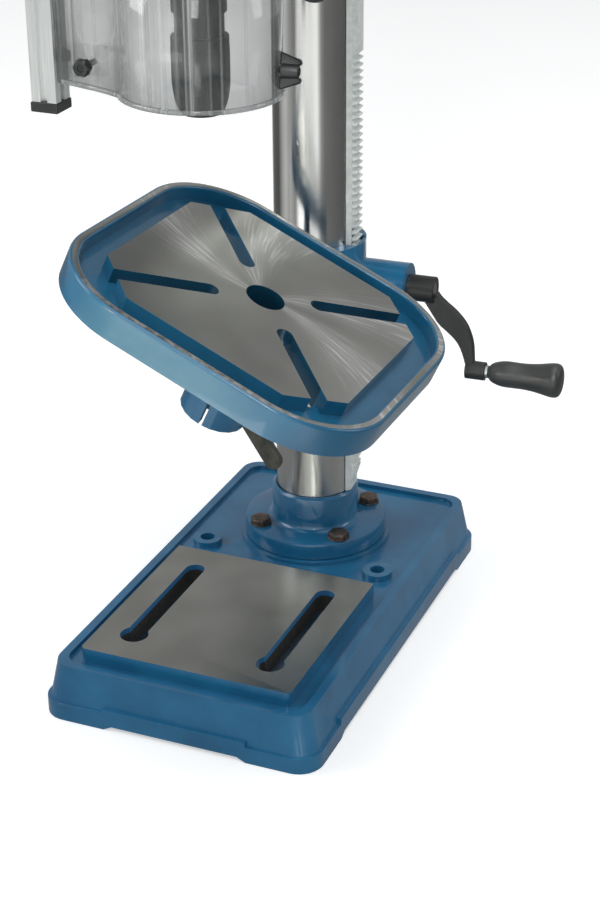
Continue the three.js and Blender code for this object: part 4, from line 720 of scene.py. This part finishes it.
# %% [markdown]
# Flange bolts
#
# A hexagon bolt has a forged head with a turned chamfer and stands on a washer. The head starts as a
# cone operator with six sides, its rims are bevelled, and a spun washer lies beneath. The shank goes
# down into the base, where a thread would never be seen, so it is left plain.

# %% Hexagon heads
ACROSS_FLATS, HEAD_FOOT, HEAD_TOP, HEAD_CHAMFER = 17, 68.25, 73.1, 0.9


def rotated(form, angle):
    bmesh.ops.rotate(form, cent=(0, 0, 0), matrix=Matrix.Rotation(angle, 3, "Z"), verts=form.verts)
    return form


def lift(form, geom, height):
    tops = [item for item in geom if isinstance(item, bmesh.types.BMVert)]
    bmesh.ops.translate(form, vec=(0, 0, mm(height)), verts=tops)


def rise(edge):
    return abs(edge.verts[0].co.z - edge.verts[1].co.z)


def hexagon(turn):
    form = bmesh.new()
    radius = mm(ACROSS_FLATS / 2 / math.cos(math.radians(30)))
    bmesh.ops.create_cone(form, cap_ends=True, segments=6, radius1=radius, radius2=radius,
                          depth=mm(HEAD_TOP - HEAD_FOOT))
    bevelled(form, [e for e in form.edges if rise(e) < 1e-6 and e.verts[0].co.z > 0], HEAD_CHAMFER, 3)
    lift(rotated(form, turn), form.verts, (HEAD_FOOT + HEAD_TOP) / 2)
    return form


print("head height", HEAD_TOP - HEAD_FOOT)

# %% Bolts
BOLT_CIRCLE = 56.5
for index, turn in enumerate((0.35, 0.1, 0.6, 0.9)):
    angle = math.radians(45 + 90 * index)
    spot = upright(BOLT_CIRCLE * math.cos(angle), BOLT_CIRCLE * math.sin(angle))
    washer = spun([(5.2, 66.9), (9.9, 66.9), (10.2, 67.2), (10.2, 67.9), (9.9, 68.2), (5.2, 68.2)], spot, 36,
                  close=True)
    shank = spun([(0, 36), (5, 36), (5, 68.3), (0, 68.3)], spot, 24)
    node = f"flange_bolt_{index + 1}"
    make_piece(together(washer, shank, placed(hexagon(turn), spot)), node + "_turned", "stand",
               "browned_bolt_steel", node)
print("bolts made")

# %% [markdown]
# Joining forms and cutting slots
#
# Slots and bores are cut with a Boolean modifier whose result becomes the mesh, because that is how a
# milling cutter works: one form is taken away from another. Parts of one casting are joined the same
# way, so that the cutters meet a single skin. The helpers are removed afterwards.


# %% Joining and cutting
def stock(form, name):
    bmesh.ops.recalc_face_normals(form, faces=form.faces)
    return new_object(name, mesh_of(form, name))


def combined(operation, form, *others):
    body = stock(form, "stock")
    tools = [stock(other, "cutter") for other in others]
    for tool in tools:
        modifier = body.modifiers.new("cut", "BOOLEAN")
        modifier.operation = operation
        modifier.solver = "EXACT"
        modifier.object = tool
    bpy.context.view_layer.update()
    shown = body.evaluated_get(bpy.context.evaluated_depsgraph_get())
    result = bmesh.new()
    result.from_mesh(shown.data)
    for item in (body, *tools):
        bpy.data.objects.remove(item)
    return result


print("cutting ready")


# %% Raised outlines and slots
def raised(corners, low, high, round_radius=0.0, steps=24):
    form = bmesh.new()
    face = form.faces.new([form.verts.new((mm(x), mm(y), mm(low))) for x, y in corners])
    if round_radius:
        bevelled(form, form.verts[:], round_radius, steps, "VERTICES")
        face = form.faces[:][0]
    grown = bmesh.ops.extrude_face_region(form, geom=[face], use_keep_orig=True)
    lift(form, grown["geom"], high - low)
    bmesh.ops.recalc_face_normals(form, faces=form.faces)
    return form


def slot(start, end, width, low, high, angle):
    half = width / 2
    form = raised([(start - half, -half), (end + half, -half), (end + half, half), (start - half, half)],
                  low, high, half * 0.998, 10)
    return rotated(form, angle)


print("outlines ready")

# %% [markdown]
# The tilting table
#
# The table is one iron casting: an apron with large round corners, a rim, a gutter, a raised pad that
# is ground together with the rim, and a stem. A square with bevelled corners gives each outline, since
# a bevel keeps the corners true arcs. Then slots and hole are cut. Ground faces get bare iron, the rim
# is worn, and the rest stays painted.

# %% The table's shell, pad and stem
HALF, CORNER, RIM, WALL = 140.0, 77, 8.5, 10.5
APRON_DEPTH, GUTTER_DEPTH, PLATE_DEPTH, PAD_ROOT, OVERRUN = 25, 13, 19, 18.5, 5
PAD_X, PAD_Y, CHAMFER = 110.0, 114.0, 40.0


def square(half):
    return [(-half, -half), (half, -half), (half, half), (-half, half)]


apron = raised(square(HALF), -APRON_DEPTH, 0, CORNER)
gutter = raised(square(HALF - RIM), -GUTTER_DEPTH, OVERRUN, CORNER - RIM)
under = raised(square(HALF - WALL), -APRON_DEPTH - OVERRUN, -PLATE_DEPTH, CORNER - WALL)
shell = combined("DIFFERENCE", apron, gutter, under)
half_pad = [(PAD_X, CHAMFER - PAD_Y), (PAD_X, PAD_Y - CHAMFER), (PAD_X - CHAMFER, PAD_Y), (CHAMFER - PAD_X, PAD_Y)]
pad = raised(half_pad + [(-x, -y) for x, y in half_pad], -PAD_ROOT, 0)
stem = spun([(0, -106), (19, -106), (20, -105), (20, -24), (23, -19.5), (23, -18), (0, -18)], steps=64)
print("faces of the shell", len(shell.faces))

# %% The table's slots and hole
SLOT_START, SLOT_WIDTH, SLOT_TOP, LEDGE, DEEP = 49, 14, 3, -13.02, -40
reach = (PAD_X + PAD_Y - CHAMFER) / math.sqrt(2)
slots = []
for index in range(4):
    angle = math.radians(45 + 90 * index)
    slots.append(slot(SLOT_START, reach, SLOT_WIDTH, LEDGE, SLOT_TOP, angle))
    slots.append(slot(SLOT_START, reach - SLOT_WIDTH, SLOT_WIDTH, DEEP, SLOT_TOP, angle))
hole = spun([(0, -110), (16.5, -110), (16.5, 2), (0, 2)], steps=48)
table_form = combined("DIFFERENCE", combined("UNION", shell, pad, stem), *slots, hole)
flattened(table_form, FLAT_TABLE)
print("faces after cutting", len(table_form.faces))

# %% The table's worn rims
OUTER_WEAR, INNER_WEAR, NEAR_RIM, FLUSH = 2.4, 1.8, 0.3, 0.01


def on_rim(edge, half, corner):
    for vert in edge.verts:
        x, y = abs(vert.co.x) * PER_METRE, abs(vert.co.y) * PER_METRE
        core = half - corner
        rounded = math.hypot(max(x - core, 0), max(y - core, 0)) - corner
        out = rounded if min(x, y) > core else max(x, y) - half
        if abs(out) > NEAR_RIM or abs(vert.co.z) > mm(FLUSH):
            return False
    return True


for inset, worn in ((0, OUTER_WEAR), (RIM, INNER_WEAR)):
    rim = [edge for edge in table_form.edges if on_rim(edge, HALF - inset, CORNER - inset)]
    bevelled(table_form, rim, worn, 3)
    print("rim edges rounded", len(rim))

# %% The table's finishes
ENAMEL, GROUND, WORN, SLOT_WALL = range(4)
RIM_FROM = 120
# The upper walls of the slots and the hole take the darker enamel, a painted shade
HOLE_SIDE, SLOTS_FROM, SLOTS_TO = 17, 40, 106
# A painted sheen of light on part of the front apron: axis, where it starts, where it is full, and its least share
PAINTED_SHEEN = ((1, -112.0, -139.0, 0.0), (0, -112.0, -60.0, 0.0), (0, 84.0, 22.0, 0.1), (2, -1.0, -3.0, 0.0))
table_form.normal_update()
for face in table_form.faces:
    level = max(abs(v.co.z) for v in face.verts) < mm(FLUSH) and face.normal.z > 0.9
    outer = min(max(abs(v.co.x), abs(v.co.y)) for v in face.verts) > mm(RIM_FROM)
    out = math.hypot(*(sum(v.co[axis] for v in face.verts) / len(face.verts) for axis in (0, 1))) * PER_METRE
    upper_wall = abs(face.normal.z) < 0.5 and max(v.co.z for v in face.verts) > mm(-1)
    in_cut = upper_wall and (SLOTS_FROM < out < SLOTS_TO or out < HOLE_SIDE)
    face.material_index = (WORN if outer else GROUND) if level else SLOT_WALL if in_cut else ENAMEL

tree, shader, at, paint = enamelled("table_enamel_with_painted_sheen", "195A7C", "20698D")
side = add(tree, "SeparateXYZ", Vector=in_frame(tree, at, TABLE)[1])
painted_sheen = None
for axis, start, full, least in PAINTED_SHEEN:
    share = ramp(tree, side.outputs[axis], start, full, least)
    painted_sheen = share if painted_sheen is None else times(tree, painted_sheen, share)
# The front is blended towards a pale grey blue in a mottled patch: a painted sheen of light
patchy = ramp(tree, grain(tree, at, 16, 3, (1, 1, 1.6)), 0, 1, 0.7, 1.2)
feed(shader, Base_Color=blend(tree, times(tree, painted_sheen, patchy), paint, colour("58869A")))
# The table's pad is ground iron with painted highlight rays round its middle
ground_iron("ground_table_iron_painted_rays", TABLE, 1.0)
table_piece = make_piece(placed(table_form, TABLE), "cast_table", "table",
                         ["table_enamel_with_painted_sheen", "ground_table_iron_painted_rays", "worn_rim_iron", "painted_shade_slot_enamel"], "table")
soften(table_piece, 0.9)
print("table faces", len(table_piece.data.polygons))

# %% [markdown]
# The base
#
# The base is a hollow casting with leaning walls, a rim round a tray, two bosses for bench bolts, and a
# ground pad with two long slots. It keeps the solid's shape with rounded edges. The pad's top is bare
# ground iron, and the slots' walls get a nearly black painted shade, with blue paint on their lips.

# %% Base
PAD_LEVEL = 60.9
SLOTS_X, SLOTS_Y = (52, 80), (-275, -120)
# The base's third finish is the nearly black painted shade on its slots' walls
base_piece = rounded_copy("base", [BLUE, "ground_cast_iron", "painted_shade_slot_iron"], 1.6, 3)
for polygon in base_piece.data.polygons:
    corners = [base_piece.data.vertices[i].co * PER_METRE for i in polygon.vertices]
    top = min(c.z for c in corners) > PAD_LEVEL and polygon.normal.z > 0.9
    in_slot = abs(polygon.normal.z) < 0.2 and all(
        SLOTS_X[0] < abs(c.x) < SLOTS_X[1] and SLOTS_Y[0] < c.y < SLOTS_Y[1] for c in corners)
    polygon.material_index = 1 if top else 2 if in_slot else 0
print("bare faces of the base", sum(p.material_index > 0 for p in base_piece.data.polygons))

# %% [markdown]
# Bracket, arm and other castings
#
# The bracket is clamped round the column by its slit, and the arm carries the table's stem in a split
# ring. These castings keep their solid's shape. Rounded edges catch the light as thick enamel does.
# The lid and the tray have long round ends, which get more steps than the solids have.

# %% Finishes and edges of the castings
castings = {
    "table_bracket": (BLUE, 1.4),
    "tilt_arm": (BLUE, 1.2),
    "head_casting": (BLUE, 2.0),
    "belt_housing": (STOVE, 1.0),
    "belt_cover": (BLUE, 1.0),
    "switch_box": (BLACK, 2.0),
    "rack_ring": (STOVE, 0.8),
    "guard_bracket": (BLACK, 1.0),
    "post_end_cap": (BLACK, 0.9),
    "crank_arm": (STOVE, 1.2),
    "column_clamp_lever": ("rolled_lever_steel", 0.8),
    "spring_cover": (OXIDE, 1.0),
    "motor_plate": (OXIDE, 0.8),
    "depth_collar": (OXIDE, 0.8),
    "feed_hub": ("turned_steel", 0.8),
    "rack": ("pale_zinc_rack_steel", 0.25),
}
for node, (paint, radius) in castings.items():
    rounded_copy(node, paint, radius)

# %% Rounder ends of lid and tray
END_RADIUS, LID_WALL = 86, 3
CHORD_SAG, SLACK = 2.2, 0.05


def rounder_ends(node):
    mesh = bpy.data.objects[node + "_cast"].data
    low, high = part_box(node)
    ends = (PER_METRE * low.y + END_RADIUS, PER_METRE * high.y - END_RADIUS)

    def spread(point):
        x, y = PER_METRE * point.x, PER_METRE * point.y
        near = ends[0] if y < ends[0] + 0.1 else ends[1] if y > ends[1] - 0.1 else None
        return (None, 0) if near is None else (near, math.hypot(x, y - near))

    def target(point):
        out = spread(point)[1]
        rings = (END_RADIUS, END_RADIUS - LID_WALL)
        return next((ring for ring in rings if ring - CHORD_SAG < out < ring + SLACK), None)

    form = bmesh.new()
    form.from_mesh(mesh)
    arcs = [edge for edge in form.edges if rise(edge) < mm(FLUSH)
            and all(target(v.co) for v in edge.verts) and target(edge.verts[0].co) == target(edge.verts[1].co)
            and mm(2) < edge.calc_length() < mm(40)]
    bmesh.ops.subdivide_edges(form, edges=arcs, cuts=3, use_grid_fill=True)
    for vert in form.verts:
        ring = target(vert.co)
        if ring:
            centre, out = spread(vert.co)
            vert.co.x *= ring / out
            vert.co.y = mm(centre) + (vert.co.y - mm(centre)) * ring / out
    form.to_mesh(mesh)
    form.free()
    shaded(mesh, EDGE_LIMIT)
    print("arc edges of", node, len(arcs))


for node in ("belt_cover", "belt_housing"):
    rounder_ends(node)
print("castings rounded", len(castings))

# %% [markdown]
# The crank's grip
#
# The grip is moulded plastic with a waist near the crank and a full belly. The few points of its section
# would show as rings, so the spun form gets smooth subdivision. A small collar holds it on its pin.

# %% Grip
GRIP_START, GRIP_LENGTH, GRIP_RADIUS = 167.2, 68.0, 16.0
# The section is written in shares of the radius and of the length
shares = [(0, 0), (0.3, 0), (0.42, 0.012), (0.56, 0.05), (0.67, 0.12), (0.745, 0.2), (0.755, 0.28),
          (0.735, 0.42), (0.76, 0.56), (0.83, 0.68), (0.92, 0.78), (0.985, 0.86), (0.99, 0.92), (0.91, 0.97),
          (0.62, 0.997), (0.3, 1.0), (0, 1.0)]
section = [(GRIP_RADIUS * r, GRIP_LENGTH * s) for r, s in shares]
grip = make_piece(spun(section, BRACKET @ along_x(GRIP_START, 0, CRANK_HEIGHT), 40), "moulded_crank_grip", "grip",
                  "satin_grip_plastic", "crank_grip", 60)
smooth = grip.modifiers.new("smooth_section", "SUBSURF")
smooth.levels = smooth.render_levels = 2
collar = [(3.9, 164.1), (5.6, 164.1), (5.9, 164.5), (5.9, 166.4), (5.5, 166.9), (3.9, 166.9)]
make_piece(spun(collar, BRACKET @ along_x(0, 0, CRANK_HEIGHT), 40, close=True), "grip_pin_collar", "crank",
           "zinc_plated_steel")
print("grip length", GRIP_LENGTH)

# %% [markdown]
# The chuck
#
# The drill chuck is turned from hardened steel: a sleeve that widens from its nose and has one fine
# parting groove near its top, a neck and a plain top ring. The three jaws stand a little inside the nose.

# %% Chuck
spindle_place = upright(0, SPINDLE_Y)
sleeve = [(13.2, 525.8), (16.2, 525.6), (17.9, 528.2), (19.2, 531.4), (20.7, 536.4), (21.8, 542.4), (22.4, 548),
          (22.6, 553), (22.6, 577.2), (22.1, 577.6), (22.1, 578.2), (22.4, 578.6), (22.4, 585.2), (22.1, 585.8),
          (19.8, 585.9), (15.9, 585.6), (15.9, 531)]
make_piece(spun(sleeve, spindle_place, close=True), "turned_chuck_sleeve", "chuck_sleeve",
           "hardened_chuck_steel", "chuck_sleeve", 20)
neck = [(0, 530), (15.4, 530), (15.4, 586.3), (18.7, 586.4), (19.1, 586.8), (19.1, 603.6), (20.9, 604.1),
        (21.3, 604.6), (21.3, 620.2), (20.7, 620.9), (0, 620.9)]
make_piece(spun(neck, spindle_place), "turned_chuck_body", "spindle", "hardened_chuck_steel", "chuck_body", 20)
print("chuck made")

# %% [markdown]
# The clear guard
#
# The guard is bent from polycarbonate sheet: a flat leaf by the post and a round part before the chuck.
# Its path is a line whose round part is spun about the spindle. It is pushed up to the guard's height,
# and Solidify gives the sheet an even thickness. The same path, pushed up less, makes the bead on its
# lower edge.

# %% The guard's path
GUARD_RADIUS, BEND_RADIUS = 63.6, 8
ARC_START, ARC_SWEEP, ARC_STEPS = -145, 170, 64
SHEET_END, BEAD_END, LEAF_BEND = (-117, -240), (-111.5, -241.55), (-71, -253)


def guard_wall(low, high, near_post):
    form = bmesh.new()
    start = math.radians(ARC_START)
    arc_start = (GUARD_RADIUS * math.cos(start), SPINDLE_Y + GUARD_RADIUS * math.sin(start))
    corners = [form.verts.new((mm(x), mm(y), mm(low))) for x, y in (near_post, LEAF_BEND, arc_start)]
    form.edges.new(corners[:2])
    form.edges.new(corners[1:])
    bmesh.ops.spin(form, geom=corners[2:], cent=(0, mm(SPINDLE_Y), 0), axis=(0, 0, 1), steps=ARC_STEPS,
                   angle=math.radians(ARC_SWEEP))
    bend = [v for v in form.verts if (v.co - corners[1].co).length < 1e-7]
    bevelled(form, bend, BEND_RADIUS, 8, "VERTICES")
    walls = bmesh.ops.extrude_edge_only(form, edges=form.edges[:])
    lift(form, walls["geom"], high - low)
    return form


def sheet(piece, thickness):
    wall = piece.modifiers.new("sheet", "SOLIDIFY")
    wall.thickness = mm(thickness)
    return wall


print("guard path ready")

# %% Guard
SHEET, BEAD = 2.5, 2.9
GUARD_FOOT, GUARD_TOP, BEAD_FOOT, BEAD_TOP = 541, 652, 541.2, 544.6
guard_piece = make_piece(guard_wall(GUARD_FOOT, GUARD_TOP, SHEET_END), "clear_chip_guard", "guard",
                         ["clear_polycarbonate", "cut_polycarbonate_edge"], "guard_shield", 40)
wall = sheet(guard_piece, SHEET)
wall.material_offset_rim = 1
middle = guard_piece.data.polygons[len(guard_piece.data.polygons) // 2]
outward = (middle.center - Vector((0, mm(SPINDLE_Y), middle.center.z))).dot(middle.normal) > 0
wall.offset = -1 if outward else 1
bead = make_piece(guard_wall(BEAD_FOOT, BEAD_TOP, BEAD_END), "guard_lower_bead", "guard",
                  "cut_polycarbonate_edge", sharp=40)
sheet(bead, BEAD).offset = 0
make_piece(blocked((-116, -239, 546), (-93, -237.4, 651), 0.7), "guard_inner_plate", "guard", "clear_inner_plate")
print("guard wall faces", len(guard_piece.data.polygons), "outward", outward)

# %% [markdown]
# Knobs and the wing nut
#
# The guard's knob and wing nut are moulded in black plastic. The wing nut's hub is a small spun cone, and
# its two wings taper outwards, with rounded tips and a hollow in each side. The knob is spun and then
# pushed out into six shallow lobes. A small turned nut clamps the slider on the post.

# %% Wing nut
WING = [(-0.8, 4.5), (15.6, 4.5), (15.6, 8.6), (-0.8, 14.2)]
WING_HALF, WING_TIP, HOLLOW_EDGE, HOLLOW, TIP_ROUND, EDGE_ROUND = 2.6, 15, 1.1, 1.2, 1.9, 0.35
STAND_UP = Matrix(((0, 1, 0, 0), (0, 0, 1, 0), (1, 0, 0, 0), (0, 0, 0, 1)))
nut_place = upright(0, SPINDLE_Y, 562) @ turned(8, "Z") @ turned(90, "Y")
hub = spun([(0, 60), (2.5, 60), (2.5, 63.95), (5.6, 63.95), (6, 64.5), (5.6, 74), (4.8, 77.2), (3.2, 78), (3.0, 75.5),
            (0, 75.5)], nut_place, 40)


def wing(turn):
    form = raised(WING, -WING_HALF, WING_HALF)
    tips = [edge for edge in form.edges if all(v.co.x > mm(WING_TIP) for v in edge.verts) and rise(edge) > mm(1)]
    bevelled(form, tips, TIP_ROUND, 4)
    sides = [face for face in form.faces if abs(face.normal.z) > 0.9]
    bmesh.ops.inset_region(form, faces=sides, thickness=mm(HOLLOW_EDGE), depth=mm(-HOLLOW))
    bevelled(form, [edge for edge in form.edges if edge.calc_face_angle(0) > 0.7], EDGE_ROUND, 2)
    return placed(form, nut_place @ upright(0, 0, 63.9) @ turned(turn, "Z") @ STAND_UP)


make_piece(together(hub, wing(-14), wing(166)), "moulded_wing_nut", "wing_nut", BLACK, "guard_wing_nut")
print("wing nut made")

# %% Guard knob and slider nut
LOBES, LOBE_SHARE = 6, 0.09
KNOB_X, KNOB_Z, KNOB_TOP = -85.5, 559.5, 13
low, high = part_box("guard_screw")
knob_place = to_front(KNOB_X, PER_METRE * low.y + KNOB_TOP, KNOB_Z)
knob = spun([(0, -11), (2.5, -11), (2.5, 5), (5.9, 5), (6.5, 5.7), (6.5, 11.4), (5.8, 12.6), (4.4, KNOB_TOP),
             (2.9, 12.7), (2.2, 11.6), (0, 11.4)], knob_place)
knob_back = knob_place.inverted()
for vert in knob.verts:
    seen = knob_back @ vert.co
    if math.hypot(seen.x, seen.y) > mm(5.5) and mm(4.5) < seen.z < mm(11.6):
        share = 1 + LOBE_SHARE * math.cos(LOBES * math.atan2(seen.y, seen.x))
        vert.co = knob_place @ Vector((seen.x * share, seen.y * share, seen.z))
make_piece(knob, "moulded_guard_knob", "guard_screw", BLACK, "guard_screw")
post_low, post_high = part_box("guard_post")
nut_spot = along_x(PER_METRE * post_high.x + 1.6, PER_METRE * (post_low.y + post_high.y) / 2, 560.5)
slider_nut = [(0, -1.5), (5.6, -1.5), (5.6, 1.6), (5.2, 2), (4.6, 2), (4.6, 5.4), (3.6, 6.4), (0, 6.6)]
make_piece(spun(slider_nut, nut_spot, 40), "slider_clamp_nut", "guard", BLACK)
print("knob and slider nut made")

# %% Feed knobs
BALL = 16.9
for index in (1, 2, 3):
    node = f"feed_knob_{index}"
    low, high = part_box(node)
    ball = bmesh.new()
    bmesh.ops.create_uvsphere(ball, u_segments=48, v_segments=24, radius=mm(BALL))
    make_piece(placed(ball, Matrix.Translation((low + high) / 2)), "moulded_" + node, "feed", BLACK, node)
print("feed knobs made", index)

# %% [markdown]
# The motor
#
# A small induction motor has a finned barrel that sheds its heat, two end shields and a foot. The
# fins could be rings of their own, but one section with all of them, spun once, makes one closed skin.

# %% Motor
FINS, FIRST_FIN, FIN_PITCH, FIN_ROOT, FIN_TIP = 15, 688, 9.4, 55, 61.9
motor_section = [(0, 668), (50, 668), (58, 671), (60, 676), (60, 684)]
for fin in range(FINS):
    low = FIRST_FIN + fin * FIN_PITCH
    motor_section += [(FIN_ROOT, low), (FIN_ROOT, low + 4.6), (FIN_TIP, low + 5.4), (FIN_TIP, low + 8.2)]
motor_section += [(60, 830), (60, 838), (57, 843), (48, 845), (7, 845), (7, 934.2), (0, 934.2)]
barrel = spun(motor_section, upright(0, 165))
motor_foot = blocked((-50, 96.4, 690), (50, 128, 820), 2)
terminal_box = blocked((-34, 214, 730), (34, 226.8, 796), 3)
make_piece(together(barrel, motor_foot, terminal_box), "finned_motor", "motor", STOVE, "motor")
print("motor made")

# %% [markdown]
# Plain nodes
#
# Rods, arms, pulleys, jaws and buttons are as round as they need to be in the solids. A new form would
# add nothing that shows, so these keep their meshes and only get a finish.

# %% Finishes of the other nodes
plain = {
    "zinc_plated_steel": ["tilt_bolt", "ring_clamp_screw", "slide_rod_left", "slide_rod_right", "gear_pin"],
    "turned_steel": ["quill", "spindle", "lower_bearing", "upper_bearing", "chuck_jaw_1", "chuck_jaw_2",
                     "chuck_jaw_3", "worm_shaft", "lift_gear", "feed_arm_1", "feed_arm_2", "feed_arm_3"],
    "anodised_aluminium": ["guard_post", "spindle_pulley", "motor_pulley"],
    BLACK: ["lid_knob", "tension_lock_knob"],
    "clear_inner_plate": ["guard_slider"],
    "black_rubber": ["drive_belt"],
    "red_moulded_plastic": ["stop_button"],
    "green_moulded_plastic": ["start_button"],
}
for name, nodes in plain.items():
    for node in nodes:
        materials = frame["nodes"][node].data.materials
        materials.clear()
        materials.append(finishes[name])
print("nodes finished", sum(len(nodes) for nodes in plain.values()))
